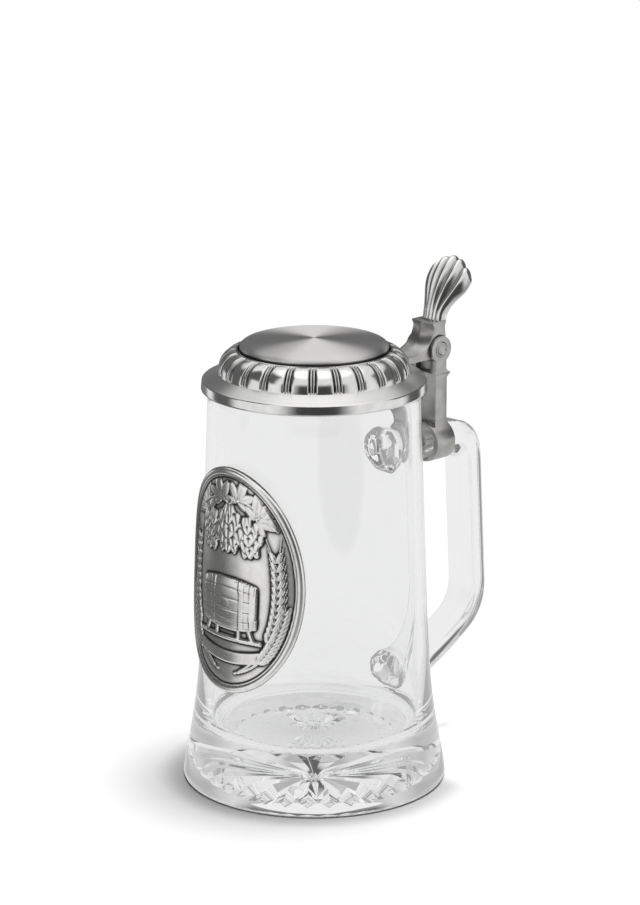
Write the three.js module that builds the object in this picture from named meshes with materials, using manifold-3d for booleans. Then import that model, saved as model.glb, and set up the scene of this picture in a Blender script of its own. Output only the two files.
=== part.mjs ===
// Lidded glass beer stein. Millimetres, +Z up, origin at the centre of the foot's underside.
// The handle points along +X, the medallion faces -X and the hinge pin lies along Y.
import * as THREE from 'three';
import { mergeVertices } from 'three/addons/utils/BufferGeometryUtils.js';
import Module from 'manifold-3d';

// Fits
const FIT_GAP = 0.3;
const FACET_ALLOWANCE = 0.05;

// Glass body
const RIM_RADIUS = 40.1;
const RIM_HEIGHT = 154.5;
const RIM_ROUND = 1.5;
const WALL = 3.8;
const FLOOR = 20;
const FLOOR_ROUND = 7;
const TAPER = 0.035;
const FLARE = 5.2;
const FLARE_HEIGHT = 26;
const FLARE_POWER = 1.6;
const FLARE_REACH = 2.5;
const FOOT_ROUND = 1.8;

// Star cut in the underside
const STAR_RAYS = 24;
const STAR_HUB_RADIUS = 9;
const STAR_RADIUS = 36;
const STAR_DEPTH = 2.4;
const STAR_TIP_LENGTH = 7;
const STAR_LAND = 0.5;

// Glass handle
const HANDLE_WIDTH = 15;
const HANDLE_DEPTH = 12.6;
const HANDLE_CHAMFER = 3.6;
const HANDLE_DROP = 32.7;
const HANDLE_REACH = 41;
const HANDLE_LEAN = 4.3;
const HANDLE_BEND = 11;
const ELBOW_HEIGHT = 49.8;
const ROOT_HEIGHT = 29.3;
const ROOT_LEVEL = 15.4;
const ROOT_SLOPE = 1;
const ROOT_FLARE = 0.35;
const ROOT_FLARE_LENGTH = 6.4;

// Strap round the handle
const STRAP_LENGTH = 10;
const STRAP_WALL = 1.2;
const STRAP_CHEEK = 2.4;

// Hinge
const HINGE_REACH = 21.6;
const HINGE_RISE = 4.3;
const HINGE_WIDTH = 14;
const PIN_RADIUS = 3;
const PIN_PROUD = 0.2;
const EAR_WALL = 1.95;
const KNUCKLE_WIDTH = 7.2;
const POST_DEPTH = 6.2;
const NECK_DEPTH = 5.6;
const COLLAR_DROP = 9.8;
const COLLAR_POINT = 2;
const COLLAR_HEIGHT = 3.2;

// Lid
const LIP_WALL = 0.5;
const LIP_DROP = 1.3;
const LID_OVERHANG = 2.4;
const EDGE_RISE = 2.7;
const EDGE_BEVEL = 0.4;
const FLANGE_WIDTH = 6.45;
const FLANGE_RISE = 2.8;
const CROWN_WIDTH = 7.45;
const CROWN_RISE = 8.5;
const GADROONS = 24;
const GADROON_DEPTH = 0.7;
const LID_WALL = 1.6;
const SEAT_DRAFT = 0.1;
const DISC_GROOVE = 0.5;
const DISC_THICKNESS = 1;
const DISC_LIFT = 0.3;
const DOME_RISE = 3.6;

// Lug and thumb lift
const BLOCK_WIDTH = 11.5;
const BLOCK_DEPTH = 7.2;
const BLOCK_RISE = 10.8;
const LUG_DROP = 4.8;
const LUG_FOOT = 2.5;
const LUG_FOOT_RISE = 0.8;
const SWEEP_DROP = 0.53;
const SWEEP_RUN = 0.72;
const TONGUE_LENGTH = 2;
const TONGUE_THICKNESS = 0.5;
const THUMB_HEIGHT = 22.4;
const THUMB_LEAN = 14.7;
const THUMB_WIDTH = 16.6;
const THUMB_NECK_WIDTH = 8.6;
const THUMB_THICKNESS = 4;
const THUMB_LOW_BEND = [0.17, 0.33];
const THUMB_HIGH_BEND = [0.42, 0.75];
const THUMB_NECK_END = 0.2;
const THUMB_FULL_WIDTH = 0.85;
const THUMB_CREST = 0.22;
const THUMB_BOW = 0.9;
const THUMB_TIP_START = 0.8;
const THUMB_TIP_THINNING = 0.8;
const FLUTES = 5;
const FLUTE_DEPTH = 0.8;

// Medallion
const MEDALLION_HALF_WIDTH = 31;
const MEDALLION_HALF_HEIGHT = 43.3;
const PLATE_THICKNESS = 1.2;
const FRAME_RISE = 0.9;
const FRAME_WIDTH = 3.2;
const FRAME_OUTER_SLOPE = 0.3;
const FRAME_INNER_SLOPE = 0.25;
const FIELD_MARGIN = 2;
const MIDDLE_RING = 1;
const BACK_BEVEL = 0.3;
const ADHESIVE_THICKNESS = 0.5;
const ADHESIVE_MARGIN = 3;

// Facet counts
const ROUND_SIDES = 64;
const CROWN_SIDES = GADROONS * 4;
const PIN_SIDES = 32;
const OVAL_SIDES = 40;
const DISC_SIDES = GADROONS * 2;
const ARM_STEPS = 8;
const BEND_STEPS = 5;
const LEG_STEPS = 2;
const WALL_STEPS = 40;
const FLARE_STEPS = 7;
const CROWN_STEPS = 5;
const SEAT_STEPS = 3;
const DOME_STEPS = 4;
const THUMB_STEPS = 10;
const PLATE_STEPS = 5;
const LEVEL_TOLERANCE = 0.01;

// Places worked out from the sizes above
const HINGE_X = RIM_RADIUS + HINGE_REACH;
const HINGE_Z = RIM_HEIGHT + HINGE_RISE;
const EAR_RADIUS = PIN_RADIUS + FIT_GAP + EAR_WALL;
const ARM_Z = RIM_HEIGHT - HANDLE_DROP;
const STRAP_HALF_WIDTH = HANDLE_WIDTH / 2 + FIT_GAP + STRAP_CHEEK;
const STRAP_HALF_HEIGHT = HANDLE_DEPTH / 2 + FIT_GAP + STRAP_WALL;
const LIP_INNER = RIM_RADIUS + FIT_GAP + FACET_ALLOWANCE;
const LIP_OUTER = LIP_INNER + LIP_WALL;
const LIP_Z = RIM_HEIGHT - LIP_DROP;
const SEAT_Z = RIM_HEIGHT + FIT_GAP;
const EDGE_RADIUS = RIM_RADIUS + LID_OVERHANG;
const EDGE_Z = RIM_HEIGHT + EDGE_RISE;
const CROWN_RADIUS = EDGE_RADIUS - FLANGE_WIDTH;
const CROWN_Z = EDGE_Z + FLANGE_RISE;
const CROWN_TOP_RADIUS = CROWN_RADIUS - CROWN_WIDTH;
const CROWN_TOP_Z = CROWN_Z + CROWN_RISE;
const DISC_RADIUS = CROWN_TOP_RADIUS - DISC_GROOVE;
const DISC_EDGE_Z = CROWN_TOP_Z + DISC_LIFT;
const BLOCK_TOP_Z = HINGE_Z + BLOCK_RISE;
const MEDALLION_Z = (FLOOR + RIM_HEIGHT) / 2;

const wasm = await Module();
wasm.setup();

// Turns a profile in X and Y, extruded along Z, into one in X and Z, extruded along -Y.
const SIDE_VIEW = new THREE.Matrix4().makeBasis(
  new THREE.Vector3(1, 0, 0), new THREE.Vector3(0, 0, 1), new THREE.Vector3(0, -1, 0));
// Turns a profile in X and Y, extruded along Z, into one in Y and Z, extruded along X.
const END_VIEW = new THREE.Matrix4().makeBasis(
  new THREE.Vector3(0, 1, 0), new THREE.Vector3(0, 0, 1), new THREE.Vector3(1, 0, 0));

// A closed geometry as a solid that can be joined and cut.
function solid(geometry) {
  const bare = geometry.clone();
  bare.deleteAttribute('normal');
  bare.deleteAttribute('uv');
  const merged = mergeVertices(bare);
  const corners = merged.index.array;
  const triangles = [];
  for (let i = 0; i < corners.length; i += 3) {
    const [a, b, c] = corners.slice(i, i + 3);
    if (a !== b && b !== c && c !== a) triangles.push(a, b, c);
  }
  return new wasm.Manifold(new wasm.Mesh({
    numProp: 3,
    vertProperties: new Float32Array(merged.attributes.position.array),
    triVerts: new Uint32Array(triangles),
  }));
}

// A named mesh of a solid with its own material.
function piece(name, shape, color, roughness, metalness) {
  const { vertProperties, triVerts } = shape.getMesh();
  const geometry = new THREE.BufferGeometry();
  geometry.setAttribute('position', new THREE.BufferAttribute(vertProperties, 3));
  geometry.setIndex(new THREE.BufferAttribute(triVerts, 1));
  geometry.computeVertexNormals();
  const mesh = new THREE.Mesh(geometry, new THREE.MeshStandardMaterial({ color, roughness, metalness }));
  mesh.name = name;
  return mesh;
}

const glass = (name, shape) => piece(name, shape, 0xf2f5f4, 0.03, 0);
const pewter = (name, shape, color, roughness) => piece(name, shape, color, roughness, 1);

// A profile of [radius, height] points turned round the Z axis, outside going up.
function turned(points, sides) {
  const profile = points.map(([radius, height]) => new THREE.Vector2(radius, height));
  return new THREE.LatheGeometry(profile, sides).rotateX(Math.PI / 2);
}

// A side profile extruded across Y, centred on the middle plane.
function across(shape, width) {
  const settings = { depth: width, bevelEnabled: false, curveSegments: 12 };
  const geometry = new THREE.ExtrudeGeometry(shape, settings).applyMatrix4(SIDE_VIEW);
  return geometry.translate(0, width / 2, 0);
}

// An end profile extruded along X, centred on x.
function along(shape, length, x) {
  const settings = { depth: length, bevelEnabled: false, curveSegments: 8 };
  return new THREE.ExtrudeGeometry(shape, settings).applyMatrix4(END_VIEW).translate(x - length / 2, 0, 0);
}

// A round bar across Y through the hinge axis.
function hingeBar(radius, width, y = 0) {
  return new THREE.CylinderGeometry(radius, radius, width, PIN_SIDES).translate(HINGE_X, y, HINGE_Z);
}

// A closed skin through rings of equal point counts, with a fan over each end.
function loft(rings) {
  const count = rings[0].length;
  const middle = (ring) => ring.reduce((sum, p) => sum.add(p), new THREE.Vector3()).divideScalar(count);
  const points = [...rings.flat(), middle(rings[0]), middle(rings.at(-1))];
  const first = rings.length * count;
  const index = [];
  for (let side = 0; side < count; side++) {
    const next = (side + 1) % count;
    for (let row = 0; row < rings.length - 1; row++) {
      const low = row * count;
      const high = low + count;
      index.push(low + side, low + next, high + next, low + side, high + next, high + side);
    }
    const last = first - count;
    index.push(first, next, side, first + 1, last + side, last + next);
  }
  return new THREE.BufferGeometry().setFromPoints(points).setIndex(index);
}

// Evenly spaced values from a to b.
function steps(a, b, count) {
  return Array.from({ length: count + 1 }, (_, i) => a + (b - a) * i / count);
}

// Outside radius of the glass at a height: a straight taper with a flare at the foot.
function bodyRadius(z) {
  const flare = FLARE * Math.exp(-((Math.max(z, 0) / FLARE_HEIGHT) ** FLARE_POWER));
  return RIM_RADIUS + TAPER * (RIM_HEIGHT - z) + flare;
}

// Inside radius of the beaker: the taper without the flare.
function boreRadius(z) {
  return RIM_RADIUS - WALL + TAPER * (RIM_HEIGHT - z);
}

// Arc of [radius, height] points about a centre.
function arc([x, z], radius, from, to, count) {
  return steps(from, to, count).map((a) => [x + radius * Math.cos(a), z + radius * Math.sin(a)]);
}

// One leaf-shaped cut of the star, along +X: narrow at the hub, widest near its tip.
function starRay() {
  const widest = STAR_RADIUS - STAR_TIP_LENGTH;
  const halfWidth = widest * Math.sin(Math.PI / STAR_RAYS) - STAR_LAND / 2;
  const points = [
    [STAR_HUB_RADIUS, 0, 0], [widest, halfWidth, 0], [STAR_RADIUS, 0, 0], [widest, -halfWidth, 0],
    [widest, 0, STAR_DEPTH], [widest, 0, -STAR_DEPTH],
  ].map((p) => new THREE.Vector3(...p));
  const index = [];
  for (let side = 0; side < 4; side++) {
    const next = (side + 1) % 4;
    index.push(next, side, 4, side, next, 5);
  }
  return new THREE.BufferGeometry().setFromPoints(points).setIndex(index);
}

// Pressed beaker with a thick foot and the star cut in its underside.
function glassBody() {
  const quarter = Math.PI / 2;
  const footRadius = bodyRadius(FOOT_ROUND);
  const rimTop = RIM_HEIGHT - RIM_ROUND;
  const cornerZ = FLOOR + FLOOR_ROUND;
  const profile = [
    [0, 0],
    ...arc([footRadius - FOOT_ROUND, FOOT_ROUND], FOOT_ROUND, -quarter, 0, 3),
    ...steps(FOOT_ROUND, FLARE_HEIGHT * FLARE_REACH, FLARE_STEPS).slice(1).map((z) => [bodyRadius(z), z]),
    ...arc([RIM_RADIUS - RIM_ROUND, rimTop], RIM_ROUND, 0, quarter, 2),
    ...arc([boreRadius(rimTop) + RIM_ROUND, rimTop], RIM_ROUND, quarter, 2 * quarter, 2),
    ...arc([boreRadius(cornerZ) - FLOOR_ROUND, cornerZ], FLOOR_ROUND, 0, -quarter, 4),
    [0, FLOOR],
  ];
  let body = solid(turned(profile, ROUND_SIDES));
  for (let ray = 0; ray < STAR_RAYS; ray++) {
    body = body.subtract(solid(starRay().rotateZ(2 * Math.PI * ray / STAR_RAYS)));
  }
  return glass('glass_body', body);
}

// The space that the glass body takes, grown by a gap and filled to the axis.
function bodySpace(gap) {
  const heights = steps(0, RIM_HEIGHT, WALL_STEPS);
  const profile = [[0, 0], ...heights.map((z) => [bodyRadius(z) + gap, z]), [0, RIM_HEIGHT]];
  return solid(turned(profile, ROUND_SIDES));
}

// Eight-sided section of the handle, grown by a gap.
function handleSection(gap, scale = 1) {
  const halfWidth = scale * HANDLE_WIDTH / 2 + gap;
  const halfDepth = scale * HANDLE_DEPTH / 2 + gap;
  const chamfer = scale * HANDLE_CHAMFER + gap * (2 - Math.SQRT2);
  const corners = [
    [halfWidth, halfDepth - chamfer], [halfWidth - chamfer, halfDepth],
    [chamfer - halfWidth, halfDepth], [-halfWidth, halfDepth - chamfer],
  ];
  return [...corners, ...corners.map(([x, y]) => [-x, -y])].map((p) => new THREE.Vector2(...p));
}

// Middle line of the handle from the upper root, over the leg and back to the lower root.
function handleLine() {
  const point = (x, z) => new THREE.Vector3(x, 0, z);
  const upperRoot = point(boreRadius(ARM_Z), ARM_Z);
  const shoulder = point(RIM_RADIUS + HANDLE_REACH, ARM_Z);
  const elbow = point(shoulder.x + HANDLE_LEAN, ELBOW_HEIGHT);
  const level = point(RIM_RADIUS + ROOT_LEVEL, ROOT_HEIGHT + ROOT_SLOPE);
  const lowerRoot = point(boreRadius(ROOT_HEIGHT), ROOT_HEIGHT);
  const towards = (from, to, distance) => to.clone().sub(from).setLength(distance).add(from);
  const bends = [towards(shoulder, upperRoot, HANDLE_BEND), towards(shoulder, elbow, HANDLE_BEND),
    towards(elbow, shoulder, HANDLE_BEND), towards(elbow, level, HANDLE_BEND)];
  return [
    [new THREE.LineCurve3(upperRoot, bends[0]), ARM_STEPS],
    [new THREE.QuadraticBezierCurve3(bends[0], shoulder, bends[1]), BEND_STEPS],
    [new THREE.LineCurve3(bends[1], bends[2]), LEG_STEPS],
    [new THREE.QuadraticBezierCurve3(bends[2], elbow, bends[3]), BEND_STEPS],
    [new THREE.QuadraticBezierCurve3(bends[3], level, lowerRoot), ARM_STEPS],
  ];
}

// Faceted handle that swells where it is welded to the body.
function glassHandle() {
  const rings = [];
  for (const [curve, count] of handleLine()) {
    for (const t of steps(0, 1, count).slice(rings.length ? 1 : 0)) {
      const centre = curve.getPoint(t);
      const tangent = curve.getTangent(t);
      const outward = new THREE.Vector3(-tangent.z, 0, tangent.x);
      const fromWall = Math.max(Math.hypot(centre.x, centre.y) - bodyRadius(centre.z), 0);
      const scale = 1 + ROOT_FLARE * Math.exp(-((fromWall / ROOT_FLARE_LENGTH) ** 2));
      rings.push(handleSection(0, scale).map((p) => centre.clone()
        .addScaledVector(outward, p.y).add(new THREE.Vector3(0, p.x, 0))));
    }
  }
  return glass('glass_handle', solid(loft(rings)).subtract(bodySpace(FIT_GAP)));
}

// Round-ended outline of the strap in end view, grown by a gap.
function strapOutline(gap) {
  const radius = STRAP_HALF_HEIGHT + gap;
  const flat = STRAP_HALF_WIDTH - STRAP_HALF_HEIGHT;
  const quarter = Math.PI / 2;
  return new THREE.Shape()
    .absarc(flat, ARM_Z, radius, -quarter, quarter)
    .absarc(-flat, ARM_Z, radius, quarter, 3 * quarter);
}

// Band that closes round the upper arm of the handle.
function handleStrap() {
  const outline = strapOutline(0);
  const hole = handleSection(FIT_GAP).map((p) => new THREE.Vector2(p.x, p.y + ARM_Z));
  outline.holes.push(new THREE.Path(hole));
  return pewter('handle_strap', solid(along(outline, STRAP_LENGTH, HINGE_X)), 0x8a8a88, 0.4);
}

// Post with a pointed collar, saddled on the strap, and a fork of two ears for the pin.
function hingePost() {
  const collarZ = HINGE_Z - COLLAR_DROP;
  const half = POST_DEPTH / 2;
  const neck = Math.asin(NECK_DEPTH / 2 / EAR_RADIUS);
  const side = new THREE.Shape();
  side.moveTo(HINGE_X - half, ARM_Z);
  side.lineTo(HINGE_X + half, ARM_Z);
  side.lineTo(HINGE_X + half, collarZ - COLLAR_HEIGHT / 2);
  side.lineTo(HINGE_X + half + COLLAR_POINT, collarZ);
  side.lineTo(HINGE_X + half, collarZ + COLLAR_HEIGHT / 2);
  side.absarc(HINGE_X, HINGE_Z, EAR_RADIUS, neck - Math.PI / 2, 3 * Math.PI / 2 - neck);
  side.lineTo(HINGE_X - half, collarZ + COLLAR_HEIGHT / 2);
  side.closePath();
  const slotFloor = HINGE_Z - EAR_RADIUS - FIT_GAP;
  const slotWidth = KNUCKLE_WIDTH + 2 * FIT_GAP;
  const slot = new THREE.BoxGeometry(4 * EAR_RADIUS, slotWidth, 4 * EAR_RADIUS)
    .translate(HINGE_X, 0, slotFloor + 2 * EAR_RADIUS);
  const shape = solid(across(side, HINGE_WIDTH))
    .subtract(solid(slot))
    .subtract(solid(hingeBar(PIN_RADIUS + FIT_GAP, 2 * HINGE_WIDTH)))
    .subtract(solid(along(strapOutline(FIT_GAP), 2 * STRAP_LENGTH, HINGE_X)));
  return pewter('hinge_post', shape, 0x8d8d8b, 0.38);
}

// Pin through the ears and the knuckle, its ends a little proud of the ears.
function hingePin() {
  return pewter('hinge_pin', solid(hingeBar(PIN_RADIUS, HINGE_WIDTH + 2 * PIN_PROUD)), 0xa3a3a1, 0.32);
}

// Height of the brushed disc's domed top at a radius.
function domeHeight(radius) {
  return DISC_EDGE_Z + DOME_RISE * (1 - (radius / DISC_RADIUS) ** 2);
}

// Rounded crown of the lid, from the flange up to the groove round the disc.
function crownCurve(count) {
  return steps(0, Math.PI / 2, count).map((a) => [
    CROWN_TOP_RADIUS + CROWN_WIDTH * Math.cos(a), CROWN_Z + CROWN_RISE * Math.sin(a)]);
}

// Presses the lobes of the crown: a narrow rib, a hollow, a full lobe and a hollow in turn.
function pressGadroons(geometry) {
  const position = geometry.attributes.position;
  const point = new THREE.Vector3();
  for (let i = 0; i < position.count; i++) {
    point.fromBufferAttribute(position, i);
    const radius = Math.hypot(point.x, point.y);
    const aboveFlange = point.z > CROWN_Z + LEVEL_TOLERANCE;
    const belowGroove = point.z < CROWN_TOP_Z - LEVEL_TOLERANCE;
    const inCrown = aboveFlange && belowGroove && radius > CROWN_TOP_RADIUS;
    const column = Math.round(Math.atan2(point.y, point.x) / (2 * Math.PI) * CROWN_SIDES);
    if (inCrown && column % 2 !== 0) {
      const shrink = 1 - GADROON_DEPTH / radius;
      position.setXYZ(i, point.x * shrink, point.y * shrink, point.z);
    }
  }
  return geometry;
}

// Cast lid: lip over the glass rim, sloping flange, gadrooned crown and a seat for the disc.
function lidCover() {
  const seat = (radius) => domeHeight(radius) - DISC_THICKNESS - FIT_GAP;
  const seatRadii = steps(CROWN_TOP_RADIUS - SEAT_DRAFT, 0, SEAT_STEPS);
  const inside = boreRadius(RIM_HEIGHT);
  const profile = [
    ...seatRadii.slice().reverse().map((r) => [r, seat(r) - LID_WALL]),
    [CROWN_RADIUS - 2 * LID_WALL, CROWN_Z],
    [inside, SEAT_Z],
    [LIP_INNER, SEAT_Z],
    [LIP_INNER, LIP_Z],
    [LIP_OUTER, LIP_Z],
    [EDGE_RADIUS, EDGE_Z - EDGE_BEVEL],
    [EDGE_RADIUS - EDGE_BEVEL, EDGE_Z],
    ...crownCurve(CROWN_STEPS),
    ...seatRadii.map((r) => [r, seat(r)]),
  ];
  const cover = pressGadroons(turned(profile, CROWN_SIDES));
  return pewter('lid_cover', solid(cover), 0xb4b4b2, 0.25);
}

// Domed disc let into the lid, with a groove round it.
function lidDisc() {
  const radii = steps(0, DISC_RADIUS, DOME_STEPS);
  const profile = [
    ...radii.map((r) => [r, domeHeight(r) - DISC_THICKNESS]),
    ...radii.slice().reverse().map((r) => [r, domeHeight(r)]),
  ];
  return pewter('lid_disc', solid(turned(profile, DISC_SIDES)), 0xbdbdbb, 0.22);
}

// The space that the lid's lip, edge and flange take, grown by a gap.
function lidSpace(gap) {
  const profile = [
    [0, LIP_Z - CROWN_RISE],
    [EDGE_RADIUS + gap, LIP_Z - CROWN_RISE],
    [EDGE_RADIUS + gap, EDGE_Z + gap],
    [CROWN_RADIUS + gap, CROWN_Z + gap],
    [CROWN_RADIUS + gap, BLOCK_TOP_Z],
    [0, BLOCK_TOP_Z],
  ];
  return solid(turned(profile, CROWN_SIDES));
}

// Block that ties the lid to the hinge: tongue on the flange, swept front, knuckle between the ears.
function lidLug() {
  const half = BLOCK_DEPTH / 2;
  const knuckleRadius = EAR_RADIUS - FIT_GAP;
  const tipX = EDGE_RADIUS - TONGUE_LENGTH;
  const tipZ = EDGE_Z + FLANGE_RISE * TONGUE_LENGTH / FLANGE_WIDTH + FIT_GAP + TONGUE_THICKNESS;
  const footX = EDGE_RADIUS + LUG_FOOT;
  const footZ = EDGE_Z + LUG_FOOT_RISE;
  const frontX = HINGE_X - half;
  const steepZ = BLOCK_TOP_Z - SWEEP_DROP * (BLOCK_TOP_Z - footZ);
  const shallowX = footX + SWEEP_RUN * (frontX - footX);
  const lowAngle = -Math.PI / 2 - Math.acos(LUG_DROP / knuckleRadius);
  const side = new THREE.Shape();
  side.moveTo(tipX, HINGE_Z - LUG_DROP);
  side.absarc(HINGE_X, HINGE_Z, knuckleRadius, lowAngle, Math.acos(half / knuckleRadius));
  side.lineTo(HINGE_X + half, BLOCK_TOP_Z);
  side.lineTo(frontX, BLOCK_TOP_Z);
  side.bezierCurveTo(frontX, steepZ, shallowX, footZ, footX, footZ);
  side.lineTo(tipX, tipZ);
  side.closePath();
  const pocketWidth = HINGE_WIDTH;
  const pocketY = (KNUCKLE_WIDTH + pocketWidth) / 2;
  const pocketRadius = EAR_RADIUS + FIT_GAP;
  const shape = solid(across(side, BLOCK_WIDTH))
    .subtract(lidSpace(FIT_GAP))
    .subtract(solid(hingeBar(pocketRadius, pocketWidth, pocketY)))
    .subtract(solid(hingeBar(pocketRadius, pocketWidth, -pocketY)))
    .subtract(solid(hingeBar(PIN_RADIUS + FIT_GAP, 2 * BLOCK_WIDTH)));
  return pewter('lid_lug', shape, 0x9b9b99, 0.34);
}

// Fluted shell that leans out over the handle, its flutes fanning up from a narrow neck.
function thumbLift() {
  const footX = HINGE_X + BLOCK_DEPTH / 2 - THUMB_THICKNESS / 2;
  const footZ = BLOCK_TOP_Z + FIT_GAP;
  const place = ([lean, rise]) => new THREE.Vector3(
    footX + THUMB_LEAN * lean, 0, footZ + THUMB_HEIGHT * rise);
  const start = new THREE.Vector3(footX, 0, BLOCK_TOP_Z - THUMB_THICKNESS / 2);
  const spine = new THREE.CubicBezierCurve3(
    start, place(THUMB_LOW_BEND), place(THUMB_HIGH_BEND), place([1, 1]));
  const front = steps(1, -1, FLUTES * 4);
  const back = steps(-1, 1, 4);
  const ring = (t) => {
    const spread = THREE.MathUtils.smoothstep(t, THUMB_NECK_END, THUMB_FULL_WIDTH);
    const halfWidth = THREE.MathUtils.lerp(THUMB_NECK_WIDTH, THUMB_WIDTH, spread) / 2;
    const tip = Math.max(t - THUMB_TIP_START, 0) / (1 - THUMB_TIP_START);
    const rounding = Math.sqrt(1 - THUMB_TIP_THINNING * tip ** 2);
    const point = (u, lift) => {
      const part = t * (1 - THUMB_CREST * u * u * spread);
      const tangent = spine.getTangent(part);
      const outward = new THREE.Vector3(-tangent.z, 0, tangent.x).multiplyScalar(lift * rounding);
      return spine.getPoint(part).add(outward).setY(u * halfWidth);
    };
    const flute = (u) => FLUTE_DEPTH * spread * (Math.abs(Math.sin((u + 1) * FLUTES * Math.PI / 2)) - 1);
    return [
      ...front.map((u) => point(u, THUMB_THICKNESS / 2 + flute(u) - THUMB_BOW * u * u)),
      ...back.map((u) => point(u, -THUMB_THICKNESS / 2)),
    ];
  };
  const below = new THREE.BoxGeometry(THUMB_WIDTH, THUMB_WIDTH, THUMB_WIDTH)
    .translate(footX, 0, footZ - THUMB_WIDTH / 2);
  const shape = solid(loft(steps(0, 1, THUMB_STEPS).map(ring))).subtract(solid(below));
  return pewter('thumb_lift', shape, 0xa9a9a7, 0.28);
}

// Ring of an oval wrapped on the glass, shrunk by an inset and lifted off the wall.
function ovalRing(inset, lift) {
  const wrapRadius = bodyRadius(MEDALLION_Z);
  return steps(0, 2 * Math.PI, OVAL_SIDES).slice(0, -1).map((a) => {
    const z = MEDALLION_Z + (MEDALLION_HALF_HEIGHT - inset) * Math.sin(a);
    const turn = Math.PI + (MEDALLION_HALF_WIDTH - inset) * Math.cos(a) / wrapRadius;
    const radius = bodyRadius(z) + lift;
    return new THREE.Vector3(radius * Math.cos(turn), radius * Math.sin(turn), z);
  });
}

// Oval plate built up from rings of [inset, lift], back middle to front middle.
function ovalPlate(rows) {
  return solid(loft(rows.map(([inset, lift]) => ovalRing(inset, lift))));
}

// Insets from the middle of the oval out to an edge inset.
function insetsTo(edge) {
  return steps(MEDALLION_HALF_WIDTH - MIDDLE_RING, edge, PLATE_STEPS);
}

// Glue pad between the glass and the medallion.
function medallionAdhesive() {
  const insets = insetsTo(ADHESIVE_MARGIN);
  const top = FIT_GAP + ADHESIVE_THICKNESS;
  const rows = [...insets.map((i) => [i, FIT_GAP]), ...insets.slice().reverse().map((i) => [i, top])];
  return piece('medallion_adhesive', ovalPlate(rows), 0x5a5a58, 0.8, 0);
}

// Oval plate with a raised rounded frame, curved to the glass.
function medallion() {
  const back = 2 * FIT_GAP + ADHESIVE_THICKNESS;
  const field = back + PLATE_THICKNESS;
  const frame = field + FRAME_RISE;
  const rows = [
    ...insetsTo(BACK_BEVEL).map((i) => [i, back]),
    [0, back + BACK_BEVEL],
    [0, field],
    [FRAME_WIDTH * FRAME_OUTER_SLOPE, frame],
    [FRAME_WIDTH * (1 - FRAME_INNER_SLOPE), frame],
    [FRAME_WIDTH, field],
    ...insetsTo(FRAME_WIDTH + FIELD_MARGIN).reverse().map((i) => [i, field]),
  ];
  return pewter('medallion', ovalPlate(rows), 0x8b8b89, 0.35);
}

const mug = new THREE.Group();
mug.add(glassBody(), glassHandle(), handleStrap(), hingePost(), hingePin());
mug.add(medallionAdhesive(), medallion());

const lid = new THREE.Group();
lid.add(lidCover(), lidDisc(), lidLug(), thumbLift());

const stein = new THREE.Group();
stein.add(mug, lid);

export default stein;
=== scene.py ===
# %% [markdown]
# # A lidded glass beer stein
# A stein is a drinking beaker with a handle and a hinged lid. This one is clear pressed glass, with
# a cast pewter lid and a pewter medallion on its wall.
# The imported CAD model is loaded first. It fixes the size, the place and the motion of every part,
# and each visible piece below is built around it, in the same frame.

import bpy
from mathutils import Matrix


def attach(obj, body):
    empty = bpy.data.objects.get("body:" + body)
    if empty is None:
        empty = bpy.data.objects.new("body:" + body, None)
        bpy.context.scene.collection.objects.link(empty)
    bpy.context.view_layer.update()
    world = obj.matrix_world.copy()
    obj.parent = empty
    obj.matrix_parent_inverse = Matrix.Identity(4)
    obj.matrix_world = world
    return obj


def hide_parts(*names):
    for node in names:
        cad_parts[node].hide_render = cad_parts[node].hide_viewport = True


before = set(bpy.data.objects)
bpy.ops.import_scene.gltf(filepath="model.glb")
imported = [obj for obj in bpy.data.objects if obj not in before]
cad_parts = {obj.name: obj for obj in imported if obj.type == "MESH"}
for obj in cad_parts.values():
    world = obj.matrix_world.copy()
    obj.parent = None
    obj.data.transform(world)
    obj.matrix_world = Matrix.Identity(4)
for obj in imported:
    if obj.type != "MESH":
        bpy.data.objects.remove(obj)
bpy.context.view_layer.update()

# %% [markdown]
# ## Small tools
# Sizes are easier to think about in millimetres, so shapes are worked out in millimetres and become
# metres when their mesh is made. Most pieces here are skins through rings of points: a turned piece
# is a ring of equal points for each step of its profile, and an extruded one is the same outline
# twice. One function can therefore skin them all, and its ends are closed with a fan or with one
# flat face.

# %% Skins through rings
import math

import bmesh
import bpy
import numpy as np

MM = 0.001


def add_piece(name, points, faces):
    """A mesh object from points in millimetres, with its faces pointing outwards."""
    mesh = bpy.data.meshes.new(name)
    mesh.from_pydata((np.asarray(points, float) * MM).tolist(), [], faces)
    shell = bmesh.new()
    shell.from_mesh(mesh)
    bmesh.ops.recalc_face_normals(shell, faces=shell.faces)
    shell.to_mesh(mesh)
    shell.free()
    piece = bpy.data.objects.new(name, mesh)
    bpy.context.scene.collection.objects.link(piece)
    return piece


def skin(name, rings, flat_ends=False):
    """A closed skin through rings of points, an array of rows, columns and places."""
    rings = np.asarray(rings, float)
    rows, columns = rings.shape[:2]
    points = rings.reshape(-1, 3)
    faces = []
    for row in range(rows - 1):
        low, high = row * columns, (row + 1) * columns
        for side in range(columns):
            after = (side + 1) % columns
            faces.append((low + side, low + after, high + after, high + side))
    last = (rows - 1) * columns
    if flat_ends:
        faces += [tuple(range(columns))[::-1], tuple(range(last, last + columns))]
    else:
        points = np.vstack([points, rings[0].mean(0), rings[-1].mean(0)])
        start, end = rows * columns, rows * columns + 1
        for side in range(columns):
            after = (side + 1) % columns
            faces += [(start, after, side), (end, last + side, last + after)]
    return add_piece(name, points, faces)


print("Skins are ready")

# %% [markdown]
# A turned piece needs its profile carried round the upright axis, and a rounded corner needs an arc.
# Both are worked out by formula, so that the number of steps can follow how closely a piece is seen.

# %% Turned rings and arcs
def even_angles(count):
    return np.arange(count) * 2 * math.pi / count


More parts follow.
